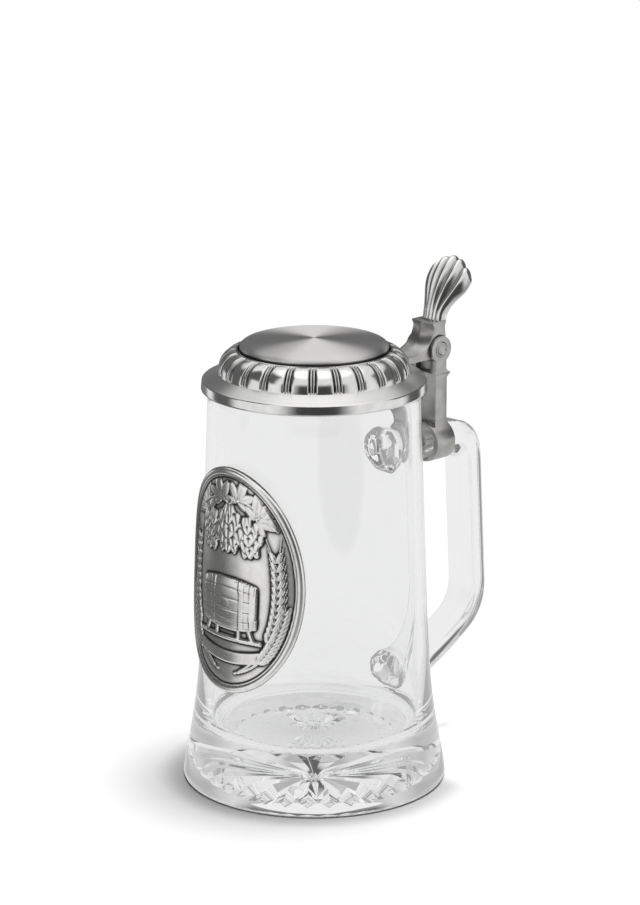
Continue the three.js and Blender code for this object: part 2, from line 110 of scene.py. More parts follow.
def turned_rings(profile, angles):
    """Rings of a profile of (radius, height) rows turned about the upright axis."""
    radius, height = np.asarray(profile, float).T
    return np.stack([
        radius[:, None] * np.cos(angles), radius[:, None] * np.sin(angles),
        np.repeat(height[:, None], len(angles), 1)], axis=-1)


def arc(centre, radius, start, end, count):
    """Points along an arc in a plane, its angles in degrees."""
    turn = np.radians(np.linspace(start, end, count))
    return np.stack([centre[0] + radius * np.cos(turn), centre[1] + radius * np.sin(turn)], axis=-1)


print("Rings and arcs are ready")

# %% [markdown]
# Some pieces are easier to cut than to draw. A Boolean modifier joins or cuts two closed meshes, a
# Bevel modifier rounds the edges of a casting, and each is turned into plain mesh at once, so that
# the finished object carries no modifier. Points and faces that a cut leaves almost in one place or
# one plane are merged first, because they would spoil the rounding.

# %% Cutting and easing
SAME_POINT, SAME_PLANE = 0.005, 0.5


def settle(piece):
    """Turns a piece's modifiers into plain mesh."""
    graph = bpy.context.evaluated_depsgraph_get()
    mesh = bpy.data.meshes.new_from_object(
        piece.evaluated_get(graph), preserve_all_data_layers=True, depsgraph=graph)
    piece.modifiers.clear()
    piece.data = mesh
    return piece


def combine(piece, other, operation):
    """Joins another closed piece to this one, or cuts it away, and removes the other."""
    modifier = piece.modifiers.new("combine", "BOOLEAN")
    modifier.operation = operation
    modifier.solver = "MANIFOLD"
    modifier.object = other
    settle(piece)
    bpy.data.objects.remove(other)


def ease_edges(piece, width, degrees=40, segments=3):
    """Rounds the edges that turn by more than an angle."""
    shell = bmesh.new()
    shell.from_mesh(piece.data)
    bmesh.ops.remove_doubles(shell, verts=shell.verts, dist=SAME_POINT * MM)
    bmesh.ops.dissolve_limit(
        shell, angle_limit=math.radians(SAME_PLANE), verts=shell.verts, edges=shell.edges)
    shell.to_mesh(piece.data)
    shell.free()
    modifier = piece.modifiers.new("ease", "BEVEL")
    modifier.width = width * MM
    modifier.segments = segments
    modifier.limit_method = "ANGLE"
    modifier.angle_limit = math.radians(degrees)
    settle(piece)


print("Cutting tools are ready")

# %% [markdown]
# A finished piece gets smooth shading, with sharp edges above an angle so that real creases stay
# crisp. Then it gets its material and is handed over with the body that carries it and the CAD nodes
# that it stands for. A number on each point, such as how deep the point lies in a recess, travels with
# the mesh as an attribute that a finish can read.

# %% Handing a piece over
def smooth(piece, degrees=35):
    piece.data.shade_smooth()
    piece.data.set_sharp_from_angle(angle=math.radians(degrees))
    return piece


def note(piece, name, values):
    """Keeps a number for each point of a piece."""
    layers = piece.data.attributes
    layer = layers[name] if name in layers else layers.new(name, "FLOAT", "POINT")
    layer.data.foreach_set("value", np.asarray(values, np.float32))


def wear(piece, material, body, slot, *nodes):
    """Gives a finished piece its material, body and the CAD nodes that it stands for. The record slot
    is not used.
    """
    if material:
        piece.data.materials.clear()
        piece.data.materials.append(material)
    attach(piece, body)
    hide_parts(*nodes)
    triangles = sum(len(face.vertices) - 2 for face in piece.data.polygons)
    print(piece.name, "has", triangles, "triangles")


print("Pieces can be handed over")

# %% [markdown]
# Node trees for shapes and for finishes are both built by linking nodes. These helpers make a node,
# set or link each of its sockets, and return it, so that a tree reads from its source to its result.

# %% Node helpers
def plug(tree, made, sockets):
    """Links each socket of a node to another one, or sets it to a plain value."""
    for key, value in sockets.items():
        if isinstance(value, bpy.types.NodeSocket):
            tree.links.new(value, made.inputs[key])
        else:
            made.inputs[key].default_value = value


def node(tree, kind, sockets=None, **settings):
    made = tree.nodes.new(kind)
    for key, value in settings.items():
        setattr(made, key, value)
    plug(tree, made, sockets or {})
    return made


def calculate(tree, operation, *values):
    """One step of arithmetic on numbers or sockets."""
    return node(tree, "ShaderNodeMath", dict(enumerate(values)), operation=operation).outputs[0]


def product(tree, first, *others):
    """Numbers or sockets multiplied together."""
    for other in others:
        first = calculate(tree, "MULTIPLY", first, other)
    return first


def vectors(tree, operation, *values):
    """One step of arithmetic on vectors."""
    return node(tree, "ShaderNodeVectorMath", dict(enumerate(values)), operation=operation).outputs


print("Node helpers are ready")

# %% [markdown]
# Most finishes need the same few steps: a number that follows another one, a blend of two, and a ramp
# of tones. With a name for each, the finishes below say what they do and not how the nodes are wired.

# %% Ranges, blends and ramps
def ranged(tree, value, low, high, first=0.0, last=1.0, way="LINEAR"):
    """A number that runs from first to last while a value runs from low to high."""
    return node(tree, "ShaderNodeMapRange", {
        "Value": value, "From Min": low, "From Max": high, "To Min": first, "To Max": last},
        interpolation_type=way).outputs[0]


def blended(tree, factor, first, second):
    """A number between two others."""
    return node(tree, "ShaderNodeMix", {0: factor, 2: first, 3: second}, data_type="FLOAT").outputs[0]


def mixed(tree, factor, first, second):
    """A colour between two others."""
    return node(tree, "ShaderNodeMix", {0: factor, 6: first, 7: second}, data_type="RGBA").outputs[2]


def tones(tree, factor, stops):
    """A colour ramp of (place, grey or colour) stops."""
    ramp = node(tree, "ShaderNodeValToRGB", {"Fac": factor})
    elements = ramp.color_ramp.elements
    while len(elements) < len(stops):
        elements.new(1.0)
    for element, (place, tone) in zip(elements, stops):
        element.position = place
        element.color = (*tone, 1) if isinstance(tone, tuple) else (tone, tone, tone, 1)
    return ramp.outputs[0]


print("Ranges, blends and ramps are ready")

# %% [markdown]
# A Geometry Nodes tree makes what repeats. It has named inputs, so that a count or a depth can be
# changed without touching the tree, and it ends in real mesh with its finish.

# %% Shape trees
def shape_tree(name, **inputs):
    """A Geometry Nodes tree with a geometry input, named sizes and a material input."""
    tree = bpy.data.node_groups.new(name, "GeometryNodeTree")
    tree.interface.new_socket("Geometry", in_out="INPUT", socket_type="NodeSocketGeometry")
    for label, kind in inputs.items():
        tree.interface.new_socket(label, in_out="INPUT", socket_type="NodeSocket" + kind)
    tree.interface.new_socket("Finish", in_out="INPUT", socket_type="NodeSocketMaterial")
    tree.interface.new_socket("Geometry", in_out="OUTPUT", socket_type="NodeSocketGeometry")
    return tree, tree.nodes.new("NodeGroupInput").outputs


def end_shape_tree(tree, given, geometry):
    """Ends a tree in real mesh with its finish."""
    real = node(tree, "GeometryNodeRealizeInstances", {"Geometry": geometry})
    finished = node(tree, "GeometryNodeSetMaterial", {
        "Geometry": real.outputs[0], "Material": given["Finish"]})
    node(tree, "NodeGroupOutput", {"Geometry": finished.outputs[0]})


def grow(piece, tree, **values):
    """Runs a tree on a piece with these sizes and keeps the result as plain mesh."""
    modifier = piece.modifiers.new(tree.name, "NODES")
    modifier.node_group = tree
    for item in tree.interface.items_tree:
        if item.in_out == "INPUT" and item.name in values:
            modifier[item.identifier] = values[item.name]
    settle(piece)


print("Shape trees are ready")

# %% [markdown]
# Every finish starts from the Principled shader. No real surface is one flat colour, so tone, polish
# and height all get some noise. It is read from Object coordinates, which stay with a piece when it
# moves.

# %% Finish helpers
def finish(name):
    """A new material with its node tree and its Principled shader."""
    made = bpy.data.materials.new(name)
    made.use_nodes = True
    return made, made.node_tree, made.node_tree.nodes["Principled BSDF"]


def own_place(tree):
    return node(tree, "ShaderNodeTexCoord").outputs["Object"]


def object_noise(tree, scale, detail=3.0, stretch=(1, 1, 1)):
    """Noise on Object coordinates, its features about 1 / scale metres across."""
    place = node(tree, "ShaderNodeMapping", {"Vector": own_place(tree), "Scale": stretch})
    return node(tree, "ShaderNodeTexNoise", {
        "Vector": place.outputs[0], "Scale": scale, "Detail": detail}).outputs[0]


def raised(tree, height, strength, distance):
    """The normal of a bump of a distance in millimetres."""
    return node(tree, "ShaderNodeBump", {
        "Height": height, "Strength": strength, "Distance": distance * MM}).outputs[0]


print("Finish helpers are ready")

# %% [markdown]
# ## Camera
# The photograph was taken with a long lens from a little above, about halfway between the front of the
# medallion and the side of the stein, with the handle to the right. The camera stands 1.25 m off and
# looks down by 15.6 degrees.

# %% Camera
CAMERA_AZIMUTH = math.radians(-44)
CAMERA_DISTANCE = 1.25
CAMERA_HEIGHT = 0.4765
CAMERA_PITCH = math.radians(15.575)
CAMERA_YAW = math.radians(0.10)

lens = bpy.data.cameras.new("camera")
lens.sensor_width = 36
lens.lens = 136.5
camera = bpy.data.objects.new("camera", lens)
camera.location = (
    CAMERA_DISTANCE * math.sin(CAMERA_AZIMUTH), -CAMERA_DISTANCE * math.cos(CAMERA_AZIMUTH),
    CAMERA_HEIGHT)
camera.rotation_euler = (math.pi / 2 - CAMERA_PITCH, 0, CAMERA_AZIMUTH - CAMERA_YAW)
bpy.context.scene.collection.objects.link(camera)
bpy.context.scene.camera = camera
print("Camera at", [round(value, 3) for value in camera.location])

# %% [markdown]
# ## Studio
# Glass and metal show little but what stands around them. A photographer hangs a white tent round
# such a piece and leaves dark gaps in it, which draw the edges of the glass and the dark bands of the
# metal. The tent could be built from cards. Here it is part of the world, by direction, so it casts no
# shadow and each kind of ray can see its own.
# A direction has a level, from 0 straight down to 1 straight up, and an angle round the stein. The
# angle is counted once round, from behind at 0 over the left, the camera at one half and the right,
# and also from the camera at 0 to straight behind at 1, alike on both sides.

# %% Directions in the sky
bpy.context.scene.view_settings.view_transform = "Standard"
world = bpy.data.worlds.new("studio")
bpy.context.scene.world = world
world.use_nodes = True
sky = world.node_tree
sky.nodes.clear()


def bearing(tree, place):
    """A place's angle from the camera, the same as a share once round, and the place's height."""
    faced = node(tree, "ShaderNodeMapping", {"Vector": place, "Rotation": (0, 0, -CAMERA_AZIMUTH)})
    axes = node(tree, "ShaderNodeSeparateXYZ", {0: faced.outputs[0]}).outputs
    turn = calculate(tree, "ARCTAN2", axes["X"], calculate(tree, "MULTIPLY", axes["Y"], -1.0))
    once_round = calculate(tree, "ADD", calculate(tree, "DIVIDE", turn, 2 * math.pi), 0.5)
    return turn, once_round, axes["Z"]


sky_turn, around, sky_height = bearing(sky, node(sky, "ShaderNodeTexCoord").outputs["Generated"])
behind = calculate(sky, "DIVIDE", calculate(sky, "ABSOLUTE", sky_turn), math.pi)
level = ranged(sky, sky_height, -1.0, 1.0)
print("Sky directions are ready")

# %% [markdown]
# Polished pewter shows the tent sharply. Up to the ceiling, which is brighter than the walls, the tent
# is dark behind the stein, at the camera and in a strip on each side. Two more dark cloths hang in
# front of it: flags at the back and a panel high on the left. All stops are (place, tone).

# %% The tent in metal
SIDE_GAPS = [
    (0.0, 0.19), (0.105, 0.22), (0.125, 0.95), (0.150, 1.0), (0.167, 0.13), (0.235, 0.13),
    (0.265, 1.0), (0.400, 1.0), (0.453, 0.07), (0.565, 0.07), (0.622, 1.0), (0.785, 1.0),
    (0.81, 0.12), (0.87, 0.12), (0.885, 1.0), (0.905, 0.95), (0.925, 0.17), (1.0, 0.16)]
GAP_HEIGHTS = [(0.0, 0.0), (0.22, 0.0), (0.30, 1.0), (0.68, 1.0), (0.80, 0.0)]
REAR_FLAGS = [(0.0, 1.0), (0.45, 1.0), (0.50, 0.15), (0.92, 0.15), (0.96, 0.9)]
FLAG_HEIGHTS = [(0.49, 0.0), (0.53, 1.0), (0.78, 1.0), (0.87, 0.0)]
LEFT_PANEL = [(0.17, 1.0), (0.20, 0.12), (0.345, 0.12), (0.375, 1.0)]
PANEL_HEIGHTS = [(0.66, 0.0), (0.71, 1.0), (0.92, 1.0), (0.96, 0.0)]
WALL_TONE, CEILING_TONE, CEILING_FROM, CEILING_FULL = 0.95, 1.45, 0.40, 0.70


def hang(tent, cloth, heights):
    """Hangs a dark cloth in front of a tent between some heights."""
    darker = calculate(sky, "MINIMUM", tent, cloth)
    return blended(sky, tones(sky, level, heights), tent, darker)


gap_heights = tones(sky, level, GAP_HEIGHTS)
ceiling = ranged(sky, sky_height, CEILING_FROM, CEILING_FULL, WALL_TONE, CEILING_TONE)
metal_tent = blended(sky, gap_heights, ceiling, tones(sky, around, SIDE_GAPS))
metal_tent = hang(metal_tent, tones(sky, behind, REAR_FLAGS), FLAG_HEIGHTS)
metal_tent = hang(metal_tent, tones(sky, around, LEFT_PANEL), PANEL_HEIGHTS)
print("The tent in metal has", len(SIDE_GAPS), "stops round the stein")

# %% [markdown]
# Clear glass needs soft greys, or its walls would look smoky, so its gaps are softened towards white.
# A dark beam stands straight behind the stein, just above the horizon. It is what the cut star and
# the handle's lower arm pick up as their dark lines.

# %% The tent in glass
GLASS_GAPS = [
    (0.0, 0.07), (0.13, 0.09), (0.20, 0.95), (0.50, 1.0), (0.55, 0.07), (0.76, 0.08), (0.86, 0.60),
    (1.0, 0.74)]
SOFTENING, TOP_TONE = 0.42, 0.80
BEAM_SIDES, BEAM_TONE = [(0.84, 0.0), (0.89, 1.0)], 0.10
BEAM_HEIGHTS = [(0.50, 0.0), (0.52, 1.0), (0.64, 1.0), (0.70, 0.0)]

open_tent = ranged(sky, sky_height, 0.0, 0.4, WALL_TONE, TOP_TONE)
soft_gaps = blended(sky, SOFTENING, tones(sky, behind, GLASS_GAPS), WALL_TONE)
far_beam = product(sky, tones(sky, behind, BEAM_SIDES), tones(sky, level, BEAM_HEIGHTS))
glass_tent = blended(sky, far_beam, blended(sky, gap_heights, open_tent, soft_gaps), BEAM_TONE)
print("The tent in glass has", len(GLASS_GAPS), "stops on each side")

# %% [markdown]
# The camera sees plain white, and matt surfaces get a weak, even light for the lamp to add to. Mirrored
# and refracted rays see a tent, unless they met a matt surface before, so no tent tints the table.
# A ray that is refracted, or mirrored without any blur, comes from glass. Other mirrored rays come
# from metal.

# %% Join the skies
EVEN_LIGHT = 0.20


def ray_kinds(tree):
    """The kinds of a ray, whether it was mirrored or refracted at all, and whether glass did it."""
    rays = node(tree, "ShaderNodeLightPath").outputs
    sent_on = calculate(tree, "MAXIMUM", rays["Is Glossy Ray"], rays["Is Transmission Ray"])
    by_glass = calculate(tree, "MAXIMUM", rays["Is Singular Ray"], rays["Is Transmission Ray"])
    return rays, sent_on, by_glass


rays, sent_on, by_glass = ray_kinds(sky)
mirrored = product(sky, calculate(sky, "LESS_THAN", rays["Diffuse Depth"], 0.5), sent_on)
even = blended(sky, rays["Is Camera Ray"], EVEN_LIGHT, 1.0)
backdrop = node(sky, "ShaderNodeBackground", {
    "Color": blended(sky, mirrored, even, blended(sky, by_glass, metal_tent, glass_tent)),
    "Strength": 1.0})
node(sky, "ShaderNodeOutputWorld", {"Surface": backdrop.outputs[0]})
print("World has", len(sky.nodes), "nodes")

# %% [markdown]
# ## Table
# The stein stands on a white table that runs into the white backdrop. A round sheet is enough for it.
# It reaches far past the picture, because glass bends the view and would otherwise show its edge.

# %% Table top
FLOOR_RADIUS, FLOOR_SIDES, FLOOR_DROP = 760, 96, 0.05

floor_radii = (60, 140, 260, FLOOR_RADIUS)
floor_rings = turned_rings(
    [(radius, -FLOOR_DROP) for radius in floor_radii], even_angles(FLOOR_SIDES))
floor_points = np.vstack([floor_rings.reshape(-1, 3), [[0, 0, -FLOOR_DROP]]])
floor_faces = []
for row in range(len(floor_radii) - 1):
    inner, outer = row * FLOOR_SIDES, (row + 1) * FLOOR_SIDES
    for side in range(FLOOR_SIDES):
        after = (side + 1) % FLOOR_SIDES
        floor_faces.append((inner + side, outer + side, outer + after, inner + after))
centre = len(floor_points) - 1
floor_faces += [(centre, side, (side + 1) % FLOOR_SIDES) for side in range(FLOOR_SIDES)]
floor = add_piece("table", floor_points, floor_faces)
print("Table is", 2 * FLOOR_RADIUS, "mm across")

# %% [markdown]
# Seen straight on, the table is white paint with a soft painted shade close round the foot. The shadow
# of the clear handle is lifted by a weak glow that only the camera sees. A path tracer lets no lamp
# light through clear glass, where the real handle hardly dims it.

# %% White paint
SHADE_FROM, SHADE_TO, FOOT_SHADE = 49.0, 64.0, 0.66
GLOW_FROM, GLOW_FULL, GLOW_FADES, GLOW_ENDS = 47.5, 52.5, 85, 140
GLOW_EDGE, GLOW_MIDDLE, HANDLE_GLOW = 0.42, 0.80, 0.7

paint, coat, base = finish("white_table")
from_middle = vectors(coat, "LENGTH", own_place(coat))["Value"]
# Painted shade: the paint is darkened close round the foot, where the stein would shade the table.
painted_contact_shade = ranged(
    coat, from_middle, SHADE_FROM * MM, SHADE_TO * MM, FOOT_SHADE, 1.0, "SMOOTHERSTEP")
white = node(coat, "ShaderNodeVectorMath", {
    0: tones(coat, object_noise(coat, scale=60, detail=4.0), [(0.0, 0.93), (1.0, 0.95)]),
    "Scale": painted_contact_shade}, operation="SCALE")
along_arm = node(coat, "ShaderNodeSeparateXYZ", {0: own_place(coat)}).outputs["X"]
towards_handle = ranged(
    coat, calculate(coat, "DIVIDE", along_arm, from_middle), GLOW_EDGE, GLOW_MIDDLE,
    way="SMOOTHERSTEP")
past_foot = ranged(coat, from_middle, GLOW_FROM * MM, GLOW_FULL * MM)
near_handle = ranged(coat, from_middle, GLOW_ENDS * MM, GLOW_FADES * MM, way="SMOOTHERSTEP")
rays, sent_on, by_glass = ray_kinds(coat)
plug(coat, base, {
    "Base Color": white.outputs[0], "Roughness": 0.8, "Specular IOR Level": 0.1,
    "Emission Color": (1, 1, 1, 1), "Emission Strength": product(
        coat, towards_handle, past_foot, near_handle, rays["Is Camera Ray"], HANDLE_GLOW)})
print("White paint has", len(coat.nodes), "nodes")

# %% [markdown]
# Through glass and in metal the table is a plain glowing tone that stands in for its lit top, with a
# painted shadow under the foot, because the traced table under clear glass would be far too dark. Metal
# also sees dark sectors in it, as from cloths that lie on the table, which give the medallion its dark
# side. Past the wall of the tent, rays from metal pass through the table to the sky.

# %% Table in glass and metal
FOOT_SHADOW_TONE, OPEN_TABLE, TENT_RADIUS = 0.66, 0.88, 420
FOOT_MIDDLE, FOOT_OUTSIDE, SECTORS_FROM, SECTORS_FULL = 8, 60, 90, 200
SECTORS = [
    (0.0, 0.50), (0.05, 0.22), (0.285, 0.12), (0.315, 0.88), (0.385, 0.88), (0.43, 0.40),
    (0.57, 0.40), (0.615, 0.84), (0.95, 0.84), (1.0, 0.50)]

# Painted shadow: this glow is darker under the foot, where the stein would shade the table.
glow_with_painted_foot_shadow = ranged(
    coat, from_middle, FOOT_MIDDLE * MM, FOOT_OUTSIDE * MM, FOOT_SHADOW_TONE, OPEN_TABLE)
in_metal = product(coat, rays["Is Glossy Ray"], calculate(coat, "SUBTRACT", 1.0, by_glass))
outwards = ranged(coat, from_middle, SECTORS_FROM * MM, SECTORS_FULL * MM)
plain_tone = blended(
    coat, product(coat, outwards, in_metal), glow_with_painted_foot_shadow,
    tones(coat, bearing(coat, own_place(coat))[1], SECTORS))
plain = node(coat, "ShaderNodeEmission", {"Color": plain_tone, "Strength": 1.0})
near_top = node(coat, "ShaderNodeMixShader", {0: sent_on, 1: base.outputs[0], 2: plain.outputs[0]})
past_tent = calculate(coat, "GREATER_THAN", from_middle, TENT_RADIUS * MM)
table_top = node(coat, "ShaderNodeMixShader", {
    0: product(coat, in_metal, past_tent), 1: near_top.outputs[0],
    2: node(coat, "ShaderNodeBsdfTransparent").outputs[0]})
plug(coat, coat.nodes["Material Output"], {"Surface": table_top.outputs[0]})
floor.data.materials.append(paint)
print("Table finish has", len(coat.nodes), "nodes")

# %% [markdown]
# One large soft lamp hangs overhead and a little to the right, so the shadow falls close and to the
# left. A wide sun does this without a size or a distance to tune. Metal and glass don't show it,
# because they have the tent.

# %% Lamp
lamp_data = bpy.data.lights.new("overhead", "SUN")
lamp_data.angle = math.radians(20)
lamp_data.energy = 2.85
lamp = bpy.data.objects.new("overhead", lamp_data)
lamp.rotation_euler = (math.radians(-3), math.radians(5.5), CAMERA_AZIMUTH)
lamp.visible_glossy = False
lamp.visible_transmission = False
bpy.context.scene.collection.objects.link(lamp)
print("Lamp is", round(math.degrees(lamp_data.angle)), "degrees wide")

# %% [markdown]
# ## Clear glass
# Pressed glass is clear, but never quite even: it carries faint ripples from the mould and small
# changes of tint. Transmission and the index of refraction stay plain numbers on the shader, and a
# weak, wide bump gives the ripples. Light that has been mirrored inside the glass many times would be
# lost to the path tracer and leave black specks, so late rays get a weak glow in its place.

# %% Glass finish
LATE_BOUNCE, LATE_GLOW = 3.5, 0.15

clear_glass, tree, shader = finish("clear_glass")
ripples = object_noise(tree, scale=55, detail=1.0, stretch=(1, 1, 0.3))
bounces = node(tree, "ShaderNodeLightPath").outputs["Glossy Depth"]
plug(tree, shader, {
    "Transmission Weight": 1.0, "IOR": 1.5,
    "Base Color": tones(tree, object_noise(tree, scale=25), [
        (0.3, (0.955, 0.96, 0.958)), (0.7, (0.975, 0.978, 0.976))]),
    "Roughness": ranged(tree, object_noise(tree, scale=300), 0.0, 1.0, first=0.0, last=0.002),
    "Normal": raised(tree, ripples, strength=0.2, distance=0.2),
    "Emission Strength": product(
        tree, calculate(tree, "GREATER_THAN", bounces, LATE_BOUNCE), LATE_GLOW)})
clear_glass.cycles.emission_sampling = "NONE"
print("Glass finish is ready")

# %% [markdown]
# ## Beaker
# The beaker is pressed in a mould: a gently tapering wall, a foot that flares out, a floor about 20 mm
# thick and a fire-polished rim. It could be a lathe of a few points with subdivision, but glass shows
# every ripple of its surface, so the profile is written as a formula and turned in fine steps, closest
# on the flare.

# %% Turn the beaker
RIM_RADIUS, RIM_HEIGHT, WALL, GLASS_FLOOR = 40.1, 154.5, 3.8, 20.0
TAPER, FLARE, FLARE_HEIGHT, FLARE_POWER = 0.035, 5.2, 26.0, 1.6
FOOT_ROUND, RIM_ROUND, CORNER_ROUND = 1.8, 1.5, 7.0
FLARE_END, BEAKER_SIDES = 66, 288
UNDERSIDE_RADII, FLOOR_RADII = (4, 20, 37, 42, 46), (26, 16, 6)


def wall_radius(z):
    """Outside radius of the glass at a height."""
    flare = FLARE * np.exp(-(z / FLARE_HEIGHT) ** FLARE_POWER)
    return RIM_RADIUS + TAPER * (RIM_HEIGHT - z) + flare


def bore_radius(z):
    """Inside radius of the beaker at a height."""
    return RIM_RADIUS - WALL + TAPER * (RIM_HEIGHT - z)


rim_z, corner_z = RIM_HEIGHT - RIM_ROUND, GLASS_FLOOR + CORNER_ROUND
foot_edge = wall_radius(FOOT_ROUND) - FOOT_ROUND
wall_heights = np.concatenate([
    np.linspace(FOOT_ROUND, FLARE_END, 40)[1:], np.linspace(FLARE_END, rim_z, 30)[1:-1]])
bore_heights = np.linspace(rim_z, corner_z, 30)[1:-1]
beaker_profile = np.vstack([
    [(radius, 0) for radius in UNDERSIDE_RADII],
    arc((foot_edge, FOOT_ROUND), FOOT_ROUND, -90, 0, 9),
    np.stack([wall_radius(wall_heights), wall_heights], -1),
    arc((RIM_RADIUS - RIM_ROUND, rim_z), RIM_ROUND, 0, 90, 7),
    arc((bore_radius(rim_z) + RIM_ROUND, rim_z), RIM_ROUND, 90, 180, 7),
    np.stack([bore_radius(bore_heights), bore_heights], -1),
    arc((bore_radius(corner_z) - CORNER_ROUND, corner_z), CORNER_ROUND, 0, -90, 13),
    [(radius, GLASS_FLOOR) for radius in FLOOR_RADII]])
glass = skin("glass", turned_rings(beaker_profile, even_angles(BEAKER_SIDES)))
print("Beaker profile has", len(beaker_profile), "steps")

# %% [markdown]
# The handle is a faceted bar of glass, bent in a mould. Its middle line is straight pieces and curves
# of three control points each. Its section is eight-sided with softened corners, and the strap below
# is bored to the same section, a little grown.

# %% Handle line and section
ARM_Z = 121.8
HANDLE_WIDTH, HANDLE_DEPTH, HANDLE_CHAMFER, HANDLE_SOFTNESS = 15.0, 12.4, 3.6, 1.1


def curve_points(controls, count):
    """Points and directions along a straight line or a curve of three control points."""
    t = np.linspace(0, 1, count)[:, None]
    first, second, third = [np.asarray(point, float) for point in controls]
    places = (1 - t) ** 2 * first + 2 * t * (1 - t) * second + t ** 2 * third
    headings = 2 * (1 - t) * (second - first) + 2 * t * (third - second)
    return places, headings / np.linalg.norm(headings, axis=1)[:, None]


def towards(start, end, distance):
    """The point at a distance from a start towards an end."""
    start, end = np.asarray(start, float), np.asarray(end, float)
    return start + (end - start) * distance / np.linalg.norm(end - start)


def soft_outline(corners, softness, steps=4):
    """A polygon with each corner replaced by a short curve."""
    corners = np.asarray(corners, float)
    outline = []
    for before, corner, after in zip(np.roll(corners, 1, 0), corners, np.roll(corners, -1, 0)):
        ends = [towards(corner, before, softness), corner, towards(corner, after, softness)]
        outline.append(curve_points(ends, steps)[0])
    return np.vstack(outline)


def handle_outline(grown=0.0):
    """Corners of the handle's section, or of one that is larger all round."""
    half_width, half_depth = HANDLE_WIDTH / 2 + grown, HANDLE_DEPTH / 2 + grown
    chamfer = HANDLE_CHAMFER + grown * (2 - math.sqrt(2))
    corners = np.array([
        (half_width, half_depth - chamfer), (half_width - chamfer, half_depth),
        (chamfer - half_width, half_depth), (-half_width, half_depth - chamfer)])
    return np.vstack([corners, -corners])


section = soft_outline(handle_outline(), HANDLE_SOFTNESS)
print("Handle section has", len(section), "points")

# %% [markdown]
# The hot handle is pressed on, so it runs into the wall with a round swelling at each root. The section
# is swept along the line, rounder and larger where it comes near the wall, and a Boolean union then
# makes beaker and handle one body of glass, as they are.

# %% Sweep the handle and weld it on
HANDLE_BEND, ROOT_SWELL, ROOT_REACH = 11, 0.5, 6.4
upper_root, shoulder, elbow = (38.6, ARM_Z), (81.1, ARM_Z), (85.4, 49.8)
last_bend, lower_root = (55.5, 30.3), (42.2, 29.3)


def halfway(start, end):
    return (np.asarray(start) + np.asarray(end)) / 2


bend_ends = [
    towards(shoulder, upper_root, HANDLE_BEND), towards(shoulder, elbow, HANDLE_BEND),
    towards(elbow, shoulder, HANDLE_BEND), towards(elbow, last_bend, HANDLE_BEND)]
stretches = [
    ([upper_root, halfway(upper_root, bend_ends[0]), bend_ends[0]], 24),
    ([bend_ends[0], shoulder, bend_ends[1]], 14),
    ([bend_ends[1], halfway(bend_ends[1], bend_ends[2]), bend_ends[2]], 6),
    ([bend_ends[2], elbow, bend_ends[3]], 14),
    ([bend_ends[3], last_bend, lower_root], 30)]
reach_out = np.hypot(section[:, 0] / (HANDLE_WIDTH / 2), section[:, 1] / (HANDLE_DEPTH / 2))
round_section = section / reach_out[:, None]
handle_rings = []
for number, (controls, count) in enumerate(stretches):
    for (x, z), (run, rise) in list(zip(*curve_points(controls, count)))[1 if number else 0:]:
        near = math.exp(-(max(x - wall_radius(z), 0) / ROOT_REACH) ** 2)
        swollen = ((1 - near) * section + near * round_section) * (1 + ROOT_SWELL * near)
        across, out = swollen.T
        handle_rings.append(np.stack([x - rise * out, across, z + run * out], -1))
combine(glass, skin("handle", handle_rings), "UNION")
print("Handle has", len(handle_rings), "rings")

# %% [markdown]
# A star is cut into the underside of the foot: leaf-shaped V cuts that widen from a small hub and end
# in scallops. One ray is a slim closed leaf. Geometry Nodes set it out round the hub, with the count as
# an input and the pitch worked out from it, and the ring of leaves is then cut out of the glass.

# %% Cut the star
STAR_RAYS, STAR_HUB, STAR_TIP, STAR_DEPTH, STAR_LAND = 26, 3.4, 33.0, 3.8, 0.15
LEAF_WIDEST, LEAF_CLOSES, HUB_DEPTH, LEAST_WIDTH, LEAST_DEPTH = 0.84, 0.72, 0.30, 0.1, 0.02


def star_leaf():
    """Rings of one leaf along +X, a diamond section that is widest near its tip."""
    part = np.concatenate([np.linspace(0.02, 0.8, 18), np.linspace(0.83, 0.995, 12)])
    radius = STAR_HUB + part * (STAR_TIP - STAR_HUB)
    widest_radius = STAR_HUB + LEAF_WIDEST * (STAR_TIP - STAR_HUB)
    half_pitch = np.minimum(radius, widest_radius) * math.sin(math.pi / STAR_RAYS)
    scallop = np.maximum(part - LEAF_WIDEST, 0) / (1 - LEAF_WIDEST)
    half_width = np.maximum(half_pitch - STAR_LAND / 2, LEAST_WIDTH) * np.sqrt(1 - scallop ** 2)
    closing = np.maximum(part - LEAF_CLOSES, 0) / (1 - LEAF_CLOSES)
    depth = STAR_DEPTH * np.minimum(HUB_DEPTH + part, 1) * np.sqrt(1 - closing) + LEAST_DEPTH
    zero = np.zeros_like(part)
    corners = ((half_width, zero), (zero, depth), (-half_width, zero), (zero, -depth))
    return np.stack([np.stack([radius, y, z], -1) for y, z in corners], axis=1)


tree, given = shape_tree("ring_of_rays", Count="Int")
pitch = calculate(tree, "DIVIDE", 2 * math.pi, given["Count"])
turns = calculate(tree, "MULTIPLY", node(tree, "GeometryNodeInputIndex").outputs[0], pitch)
points = node(tree, "GeometryNodePoints", {"Count": given["Count"]})
set_out = node(tree, "GeometryNodeInstanceOnPoints", {
    "Points": points.outputs[0], "Instance": given["Geometry"],
    "Rotation": node(tree, "ShaderNodeCombineXYZ", {"Z": turns}).outputs[0]})
end_shape_tree(tree, given, set_out.outputs[0])
star = skin("star", star_leaf())
grow(star, tree, Count=STAR_RAYS, Finish=clear_glass)
combine(glass, star, "DIFFERENCE")
smooth(glass, 28)
wear(glass, clear_glass, "mug", "clear_glass", "glass_body", "glass_handle")

# %% [markdown]
# ## Pewter finishes
# Pewter is a soft grey tin alloy. Castings keep a fine skin grain and a satin sheen. Recesses keep a
# dark patina that polishing doesn't reach, and a piece with recesses carries an attribute that says
# where they are. One function makes all of these, from a tone, a roughness and a grain.

# %% Cast pewter
PATINA_ROUGHNESS = 0.25


